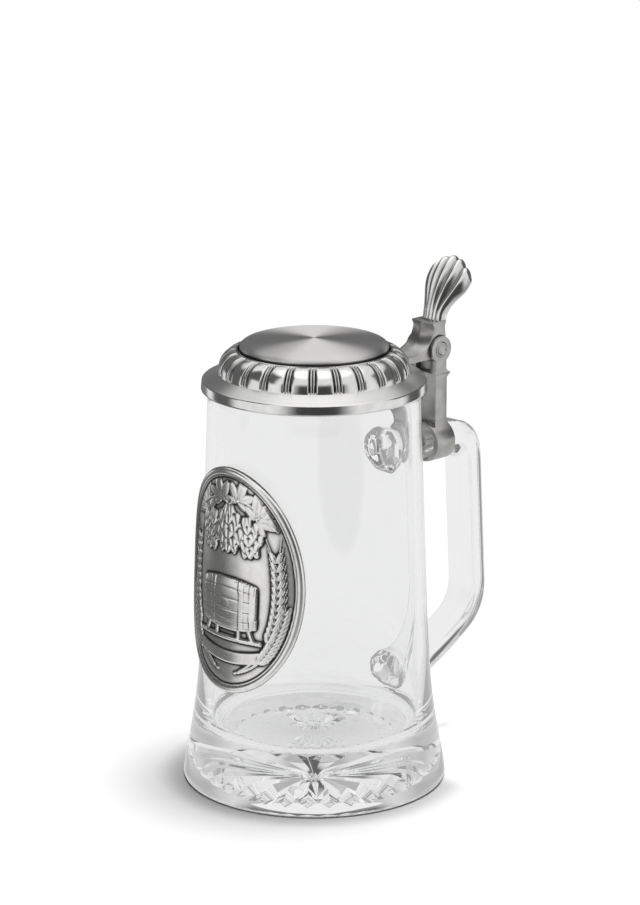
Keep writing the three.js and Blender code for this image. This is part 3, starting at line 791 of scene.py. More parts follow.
def pewter(name, dark, light, rough, grain_size, grain_depth, patina=None):
    """A pewter finish with mottled tone, uneven polish, a fine grain and patina in the recesses."""
    made, tree, shader = finish(name)
    mottle = object_noise(tree, scale=260, detail=6.0)
    tone = tones(tree, mottle, [(0.3, dark), (0.7, light)])
    handling = object_noise(tree, scale=900, detail=4.0)
    polish = ranged(tree, handling, 0.0, 1.0, first=rough - 0.05, last=rough + 0.06)
    if patina:
        recess = node(tree, "ShaderNodeAttribute", attribute_name="recess").outputs["Fac"]
        tone = mixed(tree, recess, tone, (*patina, 1))
        polish = calculate(tree, "ADD", polish, product(tree, recess, PATINA_ROUGHNESS))
    grain = object_noise(tree, scale=1 / (grain_size * MM))
    plug(tree, shader, {
        "Metallic": 1.0, "Base Color": tone, "Roughness": polish,
        "Normal": raised(tree, grain, strength=0.5, distance=grain_depth)})
    return made


cast_pewter = pewter(
    "cast_pewter", (0.38, 0.378, 0.365), (0.48, 0.477, 0.465),
    rough=0.30, grain_size=0.5, grain_depth=0.006)
polished_pewter = pewter(
    "polished_pewter", (0.66, 0.655, 0.65), (0.76, 0.755, 0.75),
    rough=0.14, grain_size=0.5, grain_depth=0.003, patina=(0.10, 0.098, 0.095))
antique_pewter = pewter(
    "antique_pewter", (0.74, 0.735, 0.72), (0.86, 0.855, 0.84),
    rough=0.23, grain_size=0.3, grain_depth=0.008, patina=(0.035, 0.034, 0.032))
print("Cast, polished and antique pewter are ready")

# %% [markdown]
# Turned faces carry fine rings from the tool, which stretch a highlight across them. The rings are
# noise of the radius alone, and the stretch is the shader's anisotropy with a tangent that runs over
# the rings. Where such a piece sits in another one, its edge below the joint gets painted shade.

# %% Turned pewter
JOINT_SHADE, JOINT_SHADE_FADE = (0.06, 0.059, 0.058, 1), 0.5


def turned_pewter(name, dark, light, rough, stretch, pitch, depth, joint=0.0):
    """A turned and brushed finish, with painted shade below the height of a joint."""
    made, tree, shader = finish(name)
    place = own_place(tree)
    radius = vectors(tree, "LENGTH", vectors(tree, "MULTIPLY", place, (1, 1, 0))[0])["Value"]
    rings = node(tree, "ShaderNodeTexNoise", {
        "W": radius, "Scale": 1 / (pitch * MM), "Detail": 4.0}, noise_dimensions="1D").outputs[0]
    groove = vectors(tree, "CROSS_PRODUCT", (0, 0, 1), place)[0]
    facing = node(tree, "ShaderNodeNewGeometry").outputs["Normal"]
    height = node(tree, "ShaderNodeSeparateXYZ", {0: place}).outputs["Z"]
    # Painted shade: below the joint the edge is darkened, as the groove it stands in would shade it.
    in_joint_shade = ranged(tree, height, (joint + JOINT_SHADE_FADE) * MM, joint * MM)
    plug(tree, shader, {
        "Metallic": 1.0, "Anisotropic": stretch,
        "Tangent": vectors(tree, "CROSS_PRODUCT", groove, facing)[0],
        "Base Color": mixed(
            tree, in_joint_shade, tones(tree, rings, [(0.3, dark), (0.7, light)]), JOINT_SHADE),
        "Roughness": ranged(tree, rings, 0.0, 1.0, first=rough - 0.04, last=rough + 0.05),
        "Normal": raised(tree, rings, strength=0.4, distance=depth)})
    return made


brushed_pewter = turned_pewter(
    "brushed_pewter", (0.64, 0.63, 0.625), (0.74, 0.73, 0.725),
    rough=0.44, stretch=0.92, pitch=0.12, depth=0.003, joint=169.2)
flange_pewter = turned_pewter(
    "flange_pewter", (0.66, 0.655, 0.65), (0.76, 0.755, 0.75),
    rough=0.30, stretch=0.7, pitch=0.2, depth=0.003)
print("Brushed and flange pewter are ready")

# %% [markdown]
# ## Strap, post and pin
# A pewter band closes round the handle's upper arm and carries the hinge post. Both are extruded
# outlines that are cut and then have their edges eased, as a casting's are. The strap is an outline
# with two round sides, bored to the handle's section.

# %% Handle strap
HINGE_X, HINGE_Z, HINGE_WIDTH = 61.7, 158.8, 14.0
STRAP_LENGTH, STRAP_FLAT, STRAP_RADIUS, STRAP_ROOM = 10.0, 2.4, 7.8, 0.25


def at_y(outline, y):
    """Side points of (x, z) at a place across the stein."""
    return np.insert(np.asarray(outline, float), 1, y, axis=1)


def across_y(name, outline, width, y=0.0):
    """A side outline of (x, z) points extruded across the stein."""
    return skin(name, [at_y(outline, y + width / 2), at_y(outline, y - width / 2)], flat_ends=True)


def along_x(name, outline, length, x):
    """An end outline of (y, z) points extruded along the handle's arm."""
    ends = [np.insert(np.asarray(outline, float), 0, place, axis=1)
            for place in (x - length / 2, x + length / 2)]
    return skin(name, ends, flat_ends=True)


def strap_outline(grown=0.0):
    """The strap's outside, or one that is larger all round."""
    return np.vstack([
        arc((STRAP_FLAT, ARM_Z), STRAP_RADIUS + grown, -90, 90, 33),
        arc((-STRAP_FLAT, ARM_Z), STRAP_RADIUS + grown, 90, 270, 33)])


strap = along_x("strap", strap_outline(), STRAP_LENGTH, HINGE_X)
bore = handle_outline(STRAP_ROOM) + np.array([0, ARM_Z])
combine(strap, along_x("strap_bore", bore, 3 * STRAP_LENGTH, HINGE_X), "DIFFERENCE")
ease_edges(strap, 0.35)
smooth(strap)
wear(strap, cast_pewter, "mug", "cast_pewter", "handle_strap")

# %% [markdown]
# The post is a plain square casting with a pointed collar and a fork of two round ears. Its side
# outline is a narrow stem, the collar's point at the back, and the round ear. A slot makes the fork for
# the lid's knuckle, with a throat in front of it, and the foot is cut to the strap so that it sits down
# on it.

# %% Hinge post
PIN_RADIUS, EAR_RADIUS, KNUCKLE_WIDTH, FIT_GAP, PIN_ROOM = 3.0, 5.25, 7.2, 0.3, 0.1
POST_HALF, NECK_HALF, SLOT_REACH, SLOT_TOP = 3.1, 2.8, 12, 180
COLLAR_Z, COLLAR_HALF, COLLAR_POINT, COLLAR_FRONT, NECK_STEP = 149.0, 1.6, 2.0, 0.5, 0.3
CHEEK_HALF, CHEEK_POINT, CHEEK_ROOT, CHEEK_LENGTH, CHEEK_BACK = 0.7, 0.45, 0.5, 6.8, 0.2
THROAT_FLOOR, SADDLE_OVERLAP = 0.6, 0.05


def hinge_round(radius, count=72):
    """A round outline about the hinge axis."""
    angles = even_angles(count)
    return np.stack([HINGE_X + radius * np.cos(angles), HINGE_Z + radius * np.sin(angles)], -1)


def box_outline(left, right, low, high):
    return [(left, low), (right, low), (right, high), (left, high)]


neck = math.degrees(math.asin(NECK_HALF / EAR_RADIUS))
post_front, post_back = HINGE_X - POST_HALF, HINGE_X + POST_HALF
post_side = np.vstack([
    [(post_front, ARM_Z), (post_back, ARM_Z), (post_back, COLLAR_Z - COLLAR_HALF),
     (post_back + COLLAR_POINT, COLLAR_Z), (post_back - NECK_STEP, COLLAR_Z + COLLAR_HALF)],
    arc((HINGE_X, HINGE_Z), EAR_RADIUS, neck - 90, 270 - neck, 61),
    [(post_front, COLLAR_Z + COLLAR_HALF), (post_front - COLLAR_FRONT, COLLAR_Z),
     (post_front, COLLAR_Z - COLLAR_HALF)]])
post = across_y("post", post_side, HINGE_WIDTH)
slot_width = KNUCKLE_WIDTH + 2 * FIT_GAP
slot_floor = HINGE_Z - EAR_RADIUS - FIT_GAP
slot_front, slot_back = HINGE_X - SLOT_REACH, HINGE_X + SLOT_REACH
slot = box_outline(slot_front, slot_back, slot_floor, SLOT_TOP)
throat = box_outline(slot_front, HINGE_X, COLLAR_Z + THROAT_FLOOR, slot_floor + 1)
pin_bore, saddle = hinge_round(PIN_RADIUS + PIN_ROOM), strap_outline(-SADDLE_OVERLAP)
combine(post, across_y("post_slot", slot, slot_width), "DIFFERENCE")
combine(post, across_y("post_throat", throat, slot_width), "DIFFERENCE")
combine(post, across_y("post_bore", pin_bore, 2 * HINGE_WIDTH), "DIFFERENCE")
combine(post, along_x("post_saddle", saddle, 3 * STRAP_LENGTH, HINGE_X), "DIFFERENCE")
root, point = HINGE_WIDTH / 2 - CHEEK_ROOT, HINGE_WIDTH / 2 + CHEEK_POINT
low, high = COLLAR_Z - CHEEK_HALF, COLLAR_Z + CHEEK_HALF
cheeks = [(root, low), (point, COLLAR_Z), (root, high), (-root, high), (-point, COLLAR_Z), (-root, low)]
combine(post, along_x("post_collar", cheeks, CHEEK_LENGTH, HINGE_X + CHEEK_BACK), "UNION")
ease_edges(post, 0.25)
smooth(post)
wear(post, cast_pewter, "mug", "cast_pewter", "hinge_post")

# %% [markdown]
# The pin runs through both ears and the knuckle. It is a turned peg with a shallow dish and a rounded
# lip at each end, so it is a skin through rounds of different sizes.

# %% Hinge pin
PIN_SIDES, PIN_STANDS_OUT = 64, 0.2
PIN_END = [
    (0.6, -0.35), (1.8, -0.32), (2.15, -0.2), (2.3, -0.02), (2.5, 0.0), (2.75, -0.03),
    (2.92, -0.12), (PIN_RADIUS, -0.3)]

pin_half = HINGE_WIDTH / 2 + PIN_STANDS_OUT
pin_profile = [(radius, -(pin_half + drop)) for radius, drop in PIN_END]
pin_profile += [(radius, pin_half + drop) for radius, drop in PIN_END[::-1]]
pin_rings = [at_y(hinge_round(radius, PIN_SIDES), y) for radius, y in pin_profile]
pin = smooth(skin("pin", pin_rings), 50)
wear(pin, cast_pewter, "mug", "cast_pewter", "hinge_pin")

# %% [markdown]
# ## Lid
# The lid is cast and turned: a lip that drops round the rim, an upright edge, a sloping flange, a crown
# of lobes, a fine bead, and a bed for the disc. Its profile is drawn in that order, from the middle of
# the underside round to the middle of the bed.

# %% Lid profile
EDGE_RADIUS, EDGE_Z, LIP_Z, SEAT_Z = 42.5, 157.2, 153.2, 154.8
CROWN_RADIUS, CROWN_Z, CROWN_TOP_RADIUS, CROWN_TOP_Z, CROWN_DEGREES = 36.4, 160.0, 28.6, 168.5, 84
DISC_RADIUS, DISC_EDGE_Z, DOME_RISE, DISC_THICKNESS, LID_WALL = 28.1, 168.8, 3.6, 1.0, 1.6


def dome_height(radius):
    return DISC_EDGE_Z + DOME_RISE * (1 - (radius / DISC_RADIUS) ** 2)


def seat_height(radius):
    """Height of the bed under the disc."""
    return dome_height(radius) - DISC_THICKNESS - FIT_GAP


seat_radii = np.linspace(2, 27.8, 6)
under = np.stack([seat_radii, seat_height(seat_radii) - LID_WALL], -1)
edge = np.array([
    (CROWN_RADIUS - 2 * LID_WALL, CROWN_Z), (36.3, SEAT_Z), (40.45, SEAT_Z),
    (40.45, LIP_Z + 0.15), (40.55, LIP_Z), (41.6, LIP_Z), (42.2, LIP_Z + 0.10),
    (42.5, LIP_Z + 0.30), (42.62, LIP_Z + 0.65), (42.62, LIP_Z + 1.0), (42.54, LIP_Z + 1.8),
    (42.45, LIP_Z + 2.7), (42.36, LIP_Z + 3.5), (42.27, LIP_Z + 3.86), (42.1, EDGE_Z + 0.05)])
flange = np.linspace((41.6, 157.44), (CROWN_RADIUS + 0.12, CROWN_Z - 0.06), 6)
crown_turn = np.radians(np.linspace(0, CROWN_DEGREES, 30))
crown = np.stack([
    CROWN_TOP_RADIUS + (CROWN_RADIUS - CROWN_TOP_RADIUS) * np.cos(crown_turn),
    CROWN_Z + (CROWN_TOP_Z - CROWN_Z) * np.sin(crown_turn)], -1)
bead = np.array([
    (29.32, 168.15), (29.24, 168.0), (29.17, 168.05), (29.12, 168.35), (29.04, 168.58),
    (28.94, 168.62), (28.83, 168.52), (28.76, 168.2), (28.72, 167.2), (28.62, 167.0),
    (28.3, 167.0), (28.2, 167.4)])
bed = np.stack([seat_radii[::-1], seat_height(seat_radii[::-1])], -1)
lid_profile = np.vstack([under, edge, flange, crown, bead, bed])
print("Lid profile has", len(lid_profile), "steps")

# %% [markdown]
# The crown is a ring of gadroons, which are rounded lobes with a pair of fine raised lines between each
# two. Columns of points stand close together at the lines and further apart on the lobes. A fade
# attribute is 1 on the crown and runs out at its two ends, so the pressing below stays between flange
# and bead.

# %% Blank for the crown
LOBES, LOBE_DEPTH = 24, 1.0
FADE_IN, FADE_OUT = 0.06, 0.10

line_steps = [0, .012, .024, .036, .05, .064, .078, .092, .106, .12, .134, .148, .162, .178]
section_steps = np.array(line_steps + [.2, .24, .3, .37, .44])
phases = np.concatenate([-section_steps[:0:-1], section_steps, [0.5]])
lid_angles = np.sort(np.concatenate([
    (lobe + phases) * 2 * math.pi / LOBES for lobe in range(LOBES)]))
lid = skin("lid", turned_rings(lid_profile, lid_angles))
fade = np.zeros(len(lid_profile))
along_crown = np.linspace(0, 1, len(crown))
crown_start = len(under) + len(edge) + len(flange)
fade[crown_start:crown_start + len(crown)] = (
    np.clip(along_crown / FADE_IN, 0, 1) * np.clip((1 - along_crown) / FADE_OUT, 0, 1))
note(lid, "fade", np.concatenate([np.repeat(fade, len(lid_angles)), [0, 0]]))
print("Lid blank has", len(lid_angles), "columns")

# %% [markdown]
# The lobes follow a rule, so Geometry Nodes press them: the angle gives the place within one lobe, a
# curve gives the depth of the section there, and the points move in by it. The depth is also kept as
# the recess that the patina follows.

# %% Press the crown
LOBE_SECTION = [
    (0.0, 0.75), (0.05, 0.45), (0.10, 0.12), (0.14, 0.10), (0.19, 0.55), (0.235, 1.0), (0.28, 0.85),
    (0.34, 0.28), (0.42, 0.10), (0.65, 0.03), (1.0, 0.0)]

tree, given = shape_tree("pressed_crown", Count="Int", Depth="Float")
axes = node(tree, "ShaderNodeSeparateXYZ", {0: node(tree, "GeometryNodeInputPosition").outputs[0]})
angle = calculate(tree, "ARCTAN2", axes.outputs["Y"], axes.outputs["X"])
lobe_number = product(tree, calculate(tree, "DIVIDE", angle, 2 * math.pi), given["Count"])
within = calculate(tree, "FRACT", calculate(tree, "ADD", lobe_number, 0.5))
from_line = calculate(tree, "ABSOLUTE", calculate(tree, "SUBTRACT", within, 0.5))
pressing = node(tree, "ShaderNodeFloatCurve", {"Value": product(tree, from_line, 2.0)})
curve = pressing.mapping.curves[0]
for x, y in LOBE_SECTION[1:-1]:
    curve.points.new(x, y)
curve.points[0].location = LOBE_SECTION[0]
curve.points[-1].location = LOBE_SECTION[-1]
pressing.mapping.update()
fading = node(tree, "GeometryNodeInputNamedAttribute", {"Name": "fade"}, data_type="FLOAT")
recess = product(tree, pressing.outputs[0], fading.outputs[0])
push = node(tree, "ShaderNodeVectorMath", {
    0: node(tree, "GeometryNodeInputNormal").outputs[0],
    "Scale": product(tree, recess, given["Depth"], -1.0)}, operation="SCALE")
pressed = node(tree, "GeometryNodeSetPosition", {
    "Geometry": given["Geometry"], "Offset": push.outputs[0]})
noted = node(tree, "GeometryNodeStoreNamedAttribute", {
    "Geometry": pressed.outputs[0], "Name": "recess", "Value": recess},
    data_type="FLOAT", domain="POINT")
end_shape_tree(tree, given, noted.outputs[0])
grow(lid, tree, Count=LOBES, Depth=LOBE_DEPTH * MM, Finish=polished_pewter)
print("Crown has", LOBES, "lobes")

# %% [markdown]
# The groove between bead and disc is never polished, so its points count as recess too. The flange is
# turned on a lathe and gets that finish, while the rest of the lid keeps the polish.

# %% Groove and flange
GROOVE_RADII, GROOVE_HEIGHTS, FLANGE_END = (28.1, 29.2), (166.5, 168.3), 42.0

places = np.empty(3 * len(lid.data.vertices), np.float32)
lid.data.vertices.foreach_get("co", places)
places = places.reshape(-1, 3) / MM
depths = np.empty(len(places), np.float32)
lid.data.attributes["recess"].data.foreach_get("value", depths)
radii, heights = np.hypot(places[:, 0], places[:, 1]), places[:, 2]
depths[(radii > GROOVE_RADII[0]) & (radii < GROOVE_RADII[1])
       & (heights > GROOVE_HEIGHTS[0]) & (heights < GROOVE_HEIGHTS[1])] = 1.0
note(lid, "recess", depths)
lid.data.materials.append(flange_pewter)
for face in lid.data.polygons:
    radius = math.hypot(face.center.x, face.center.y) / MM
    face.material_index = int(CROWN_RADIUS < radius < FLANGE_END and face.center.z / MM > EDGE_Z)
smooth(lid, 40)
wear(lid, None, "lid", "polished_pewter", "lid_cover")

# %% [markdown]
# The disc on top is spun separately, slightly domed with a rounded shoulder, and brushed in circles.
# Brushing in circles is what draws the two bright wedges that meet in the middle, so the finish has a
# strong stretch. The lowest part of its edge stands in the groove and gets painted shade.

# %% Lid disc
SHOULDER_RISE, TOP_RISE = 4.0, 0.9
DISC_SIDES = 192


def disc_height(radius):
    """Top of the disc: nearly flat, with a rounded shoulder at its edge."""
    part = np.clip(radius / DISC_RADIUS, 0, 1)
    shoulder_rise = (SHOULDER_RISE - TOP_RISE) * np.cbrt(1 - part ** 9)
    return DISC_EDGE_Z + TOP_RISE * (1 - part ** 2) + shoulder_rise


disc_radii = DISC_RADIUS * np.sin(np.radians(np.linspace(89.2, 1, 44)))
disc_under = np.linspace(1, DISC_RADIUS - 0.3, 8)
disc_profile = np.vstack([
    np.stack([disc_under, dome_height(disc_under) - DISC_THICKNESS], -1),
    [(DISC_RADIUS, DISC_EDGE_Z - 0.8), (DISC_RADIUS, DISC_EDGE_Z - 0.1)],
    np.stack([disc_radii, disc_height(disc_radii)], -1)])
disc = smooth(skin("lid_top", turned_rings(disc_profile, even_angles(DISC_SIDES))), 40)
wear(disc, brushed_pewter, "lid", "brushed_pewter", "lid_disc")

# %% [markdown]
# ## Lug and thumb lift
# The lug ties the lid to the hinge. Its front sweeps down from a small square block on to the flange,
# with a slight ridge down the middle, and its knuckle fits between the ears. It is a skin through side
# outlines set across the width, so the front can lean back towards both cheeks.

# %% Side of the lug
BLOCK_HALF_WIDTH, BLOCK_HALF_DEPTH, BLOCK_TOP, BLOCK_BASE = 5.75, 3.6, 169.6, 169.0
LUG_DROP, LUG_WAIST, LUG_RIDGE, LUG_END_X = 3.3, 0.6, 1.9, 40.6
BLOCK_LEAN, FOOT_LEAN, RIDGE_FORWARD = 0.3, 0.1, 0.85


def curve_weights(t):
    """Shares of the four control points of a curve at places from 0 to 1 along it."""
    return np.array([(1 - t) ** 3, 3 * t * (1 - t) ** 2, 3 * t ** 2 * (1 - t), t ** 3])


knuckle = EAR_RADIUS - FIT_GAP
low_angle = -90 - math.degrees(math.acos(LUG_DROP / knuckle))
high_angle = math.degrees(math.acos(BLOCK_HALF_DEPTH / knuckle))
back_edge, front_edge = HINGE_X + BLOCK_HALF_DEPTH, HINGE_X - BLOCK_HALF_DEPTH
sweep = curve_weights(np.linspace(0, 1, 18)).T @ np.array([
    (front_edge + LUG_WAIST, 167.6), (front_edge + LUG_WAIST - 0.6, 162.5), (54.6, 158.2),
    (45.0, 158.0)])


def lug_outline(lean):
    """Side outline of the lug, its swept front leaning back by an amount."""
    block_front = front_edge + lean * BLOCK_LEAN
    return np.vstack([
        [(LUG_END_X, HINGE_Z - LUG_DROP)],
        arc((HINGE_X, HINGE_Z), knuckle, low_angle, high_angle, 40),
        [(back_edge - 0.1, 164.4), (back_edge - 0.55, 166.2), (back_edge - 0.5, 167.8),
         (back_edge, BLOCK_BASE), (back_edge, BLOCK_TOP)],
        [(block_front, BLOCK_TOP), (block_front, BLOCK_BASE)],
        sweep + np.array((lean, 0)) * np.linspace(1, FOOT_LEAN, len(sweep))[:, None],
        [(LUG_END_X, 158.3)]])


print("Lug outline has", len(lug_outline(0)), "points")

# %% [markdown]
# The skin is then cut: by the lid, which the lug is soldered to, by a round pocket for each ear, and by
# the bore for the pin.

# %% Lid lug
ROOM_BELOW, ROOM_ABOVE, SOLDER_GAP = 140, 175, 0.1

lug_rings = []
for y in np.linspace(BLOCK_HALF_WIDTH, -BLOCK_HALF_WIDTH, 13):
    lean = LUG_RIDGE * (abs(y) / BLOCK_HALF_WIDTH - RIDGE_FORWARD)
    lug_rings.append(at_y(lug_outline(lean), y))
lug = skin("lug", lug_rings, flat_ends=True)
lid_room = [
    (1, ROOM_BELOW), (EDGE_RADIUS + SOLDER_GAP, ROOM_BELOW),
    (EDGE_RADIUS + SOLDER_GAP, EDGE_Z + 0.02), (CROWN_RADIUS, CROWN_Z + 0.05),
    (CROWN_RADIUS, ROOM_ABOVE), (1, ROOM_ABOVE)]
combine(lug, skin("lid_room", turned_rings(lid_room, even_angles(DISC_SIDES))), "DIFFERENCE")
for side in (1, -1):
    ear_middle = side * (KNUCKLE_WIDTH + HINGE_WIDTH) / 2
    pocket = across_y("ear_pocket", hinge_round(EAR_RADIUS + FIT_GAP), HINGE_WIDTH, ear_middle)
    combine(lug, pocket, "DIFFERENCE")
combine(lug, across_y("lug_bore", pin_bore, 3 * HINGE_WIDTH), "DIFFERENCE")
ease_edges(lug, 0.22, 45)
smooth(lug, 40)
wear(lug, cast_pewter, "lid", "cast_pewter", "lid_lug")

# %% [markdown]
# The thumb lift is a polished shell. Five rounded ribs fan up from a narrow neck and lean out over the
# handle. A curved spine carries its sections. Along the spine the shell spreads, thickens and wraps
# back at its sides, and the outer ribs end lower than the middle one.

# %% Spine and ribs of the thumb lift
THUMB_RIBS, RIB_HEIGHT, RIB_POWER, NECK_RIBS = 5, 1.9, 0.9, 0.14
NECK_HALF_WIDTH, SHELL_HALF_WIDTH = 5.0, 10.6
NECK_HALF_THICKNESS, SHELL_HALF_THICKNESS = 1.95, 2.90
FAN_DROP, WRAP, NECK_WRAP = 0.17, 4.0, 0.35
SPINE = np.array([(63.6, 169.4), (64.4, 174.5), (67.0, 183.8), (75.0, 190.0)])


def spine(t):
    """Place and direction on the spine, from the neck at 0 to the tip at 1."""
    slopes = np.array([
        -3 * (1 - t) ** 2, 3 * (1 - t) ** 2 - 6 * t * (1 - t), 6 * t * (1 - t) - 3 * t ** 2,
        3 * t ** 2])
    heading = slopes @ SPINE
    return curve_weights(t) @ SPINE, heading / np.linalg.norm(heading)


def ease(low, high, value):
    """A soft step from 0 to 1 between two values."""
    part = np.clip((value - low) / (high - low), 0, 1)
    return part * part * (3 - 2 * part)


def between(first, last, share):
    """The value at a share of the way from first to last."""
    return first + (last - first) * share


across = np.linspace(1, -1, 101)
rib_wave = np.abs(np.sin((across + 1) * THUMB_RIBS * math.pi / 2))
print("Spine ends at", spine(1.0)[0])

# %% [markdown]
# Each section has the ribs on its front and a calmer wave on its back. At the tip the front and the
# back draw together in a half circle of their own local thickness, so that every rib end rolls over.
# The grooves between the ribs are noted as recess, for the patina.

# %% Thumb lift
BACK_RIBS, BACK_WRAP, ROLL_END, TIP_NARROWING = 0.35, 0.45, 0.97, 0.03
GROOVE_PATINA, NECK_PATINA = 0.7, 0.3


def thumb_section(t, roll):
    """Points of one section, closing in as it rolls over the tip, and their recess."""
    spread = ease(0.10, 0.90, t)
    half_width = between(NECK_HALF_WIDTH, SHELL_HALF_WIDTH, spread)
    thickness = between(NECK_HALF_THICKNESS, SHELL_HALF_THICKNESS, ease(0.3, 1.0, t))
    rounding, advance = math.cos(roll * math.pi / 2 * ROLL_END), math.sin(roll * math.pi / 2)
    ribs = RIB_HEIGHT * between(NECK_RIBS, 1.0, spread) * (rib_wave ** RIB_POWER - 1)
    front, back = [], []
    for u, rib in zip(across, ribs):
        place, heading = spine(max(t * (1 - FAN_DROP * u * u * spread), 0))
        outward = np.array((-heading[1], heading[0]))
        wrap = WRAP * u * u * between(NECK_WRAP, 1.0, spread)
        high = thickness + rib - wrap
        low = -thickness - BACK_RIBS * rib * spread - BACK_WRAP * wrap
        middle_rise, half_rise = (high + low) / 2, (high - low) / 2
        for side, rise in ((front, half_rise), (back, -half_rise)):
            x, z = place + heading * advance * half_rise + outward * (middle_rise + rise * rounding)
            side.append((x, u * half_width * (1 - TIP_NARROWING * roll), z))
    groove = GROOVE_PATINA * (1 - rib_wave) ** 3 * between(NECK_PATINA, 1.0, spread)
    return front + back[::-1], np.concatenate([groove, np.zeros(len(across))])


stations = [(t, 0.0) for t in np.linspace(0, 1, 44)]
stations += [(1.0, roll) for roll in np.linspace(0, 1, 14)[1:]]
thumb_rings, thumb_recess = zip(*[thumb_section(t, roll) for t, roll in stations])
thumb = skin("thumb_shell", thumb_rings)
note(thumb, "recess", np.concatenate([*thumb_recess, [0, 0]]))
smooth(thumb, 60)
wear(thumb, polished_pewter, "lid", "polished_pewter", "thumb_lift")

# %% [markdown]
# ## Medallion
# An oval pewter plate, curved to the glass, with a raised frame and a brewing scene in relief: a cask
# on its cradle under hop cones and leaves, between ears of barley. It could be modelled form by form,
# but a struck relief is a height above the field, so the design is one height map on a fine grid. The
# grid is a square pulled into an oval, so its rows follow the frame, and every point knows how far
# inside the outline it lies.

# %% Oval grid
OVAL_HALF_WIDTH, OVAL_HALF_HEIGHT, OVAL_Z = 31.0, 43.3, 87.25
GRID_ACROSS, GRID_UP, TINY = 196, 270, 1e-6
square_u, square_v = np.meshgrid(
    np.linspace(-1, 1, GRID_ACROSS), np.linspace(-1, 1, GRID_UP), indexing="ij")
grid_u = OVAL_HALF_WIDTH * square_u * np.sqrt(1 - square_v ** 2 / 2)
grid_v = OVAL_HALF_HEIGHT * square_v * np.sqrt(1 - square_u ** 2 / 2)
reach = np.hypot(grid_u / OVAL_HALF_WIDTH, grid_v / OVAL_HALF_HEIGHT)
steepness = np.hypot(grid_u / OVAL_HALF_WIDTH ** 2, grid_v / OVAL_HALF_HEIGHT ** 2)
steepness /= np.maximum(reach, TINY)
inset = np.maximum(1 - reach, 0) / np.maximum(steepness, TINY)
print("Oval grid has", grid_u.size, "points")

# %% [markdown]
# The motifs are made of a few rounded forms: an ellipse for a grain or a leaf lobe, and a ridge along a
# line for a stem, a vein or a leg. Each raises the height map where it is higher than what is already
# there, as one form lying on another does.

# %% Relief forms
CREASE_WIDTH = 0.16
relief = np.zeros_like(grid_u)


def lay(form):
    """Lays a form on the relief, higher parts hiding lower ones."""
    np.maximum(relief, form, out=relief)


def turned_grid(x, y, degrees):
    """Distances along and beside a line through a place."""
    turn = math.radians(degrees)
    along = (grid_u - x) * math.cos(turn) + (grid_v - y) * math.sin(turn)
    beside = (grid_v - y) * math.cos(turn) - (grid_u - x) * math.sin(turn)
    return along, beside


def oval_form(x, y, degrees, long, short, rise, base, crease=0.0):
    """A rounded oval at a place, turned, with an optional crease along it."""
    along, beside = turned_grid(x, y, degrees)
    room = 1 - (along / long) ** 2 - (beside / short) ** 2
    form = np.where(room > 0, base + rise * np.sqrt(np.maximum(room, 0)), 0)
    return form - crease * np.exp(-(beside / (CREASE_WIDTH * short)) ** 2) * (room > 0)


def ridge_form(path, width, rise):
    """A rounded ridge along a line of points."""
    nearest = np.full(grid_u.shape, np.inf)
    for (x0, y0), (x1, y1) in zip(path[:-1], path[1:]):
        span = (x1 - x0) ** 2 + (y1 - y0) ** 2
        part = np.clip(((grid_u - x0) * (x1 - x0) + (grid_v - y0) * (y1 - y0)) / span, 0, 1)
        away = np.hypot(grid_u - x0 - part * (x1 - x0), grid_v - y0 - part * (y1 - y0))
        np.minimum(nearest, away, out=nearest)
    return rise * np.sqrt(np.maximum(1 - (nearest / width) ** 2, 0))


def step_along(x, y, degrees, distance):
    """The place at a distance from another one in a direction."""
    turn = math.radians(degrees)
    return x + distance * math.cos(turn), y + distance * math.sin(turn)


print("Relief forms are ready")

# %% [markdown]
# An ear of barley is a bent stem with pairs of plump grains along its upper half. Each grain has a
# crease and ends in a long, thin awn. Two ears stand on each side, the second one lower and further
# out. The ear is worked out along a curve, so that each one can bend its own way.

# %% Barley ears
GRAIN_OUT, GRAIN_LEAN, AWN_LEAN, AWN_LENGTH = 1.15, 24, 14, 7.5


def barley(foot, bend, tip):
    """A stem, paired grains towards the tip, and an awn on each grain."""
    places, headings = curve_points((foot, bend, tip), 60)
    lay(ridge_form(places[:36:3], width=0.55, rise=0.55))
    for (x, y), (run, rise) in list(zip(places, headings))[26::3]:
        heading = math.degrees(math.atan2(rise, run))
        for side in (1, -1):
            grain = (x - side * rise * GRAIN_OUT, y + side * run * GRAIN_OUT)
            awn_tip = step_along(*grain, heading + side * AWN_LEAN, AWN_LENGTH)
            lay(ridge_form([grain, awn_tip], width=0.26, rise=0.35))
            lay(oval_form(
                *grain, heading + side * GRAIN_LEAN, long=2.3, short=1.05, rise=0.75, base=0.25,
                crease=0.22))


for flip in (1, -1):
    barley((flip * 6, -34), (flip * 25, -22), (flip * 20.5, 12))
    barley((flip * 4, -35), (flip * 19, -31), (flip * 24.3, -8))
print("Highest barley", round(float(relief.max()), 2), "mm")

# %% [markdown]
# A hop leaf is five pointed lobes round the stalk's end, with a vein along each. Two bines, the hop's
# climbing stems, arch over the scene and carry two leaves on each side.

# %% Hop leaves
LEAF_LOBES = ((0, 1.0), (48, 0.82), (-48, 0.82), (98, 0.55), (-98, 0.55))
LOBE_LENGTH, LOBE_WIDTH, VEIN_LENGTH = 0.62, 0.46, 1.8


def hop_leaf(x, y, degrees, size):
    """A leaf of five lobes with a vein along each."""
    for spread, scale in LEAF_LOBES:
        heading, long = degrees + spread, size * scale * LOBE_LENGTH
        lay(oval_form(
            *step_along(x, y, heading, long), heading, long=long, short=long * LOBE_WIDTH, rise=0.45,
            base=0.12, crease=0.2))
        vein_tip = step_along(x, y, heading, VEIN_LENGTH * long)
        lay(ridge_form([(x, y), vein_tip], width=0.22, rise=0.62))


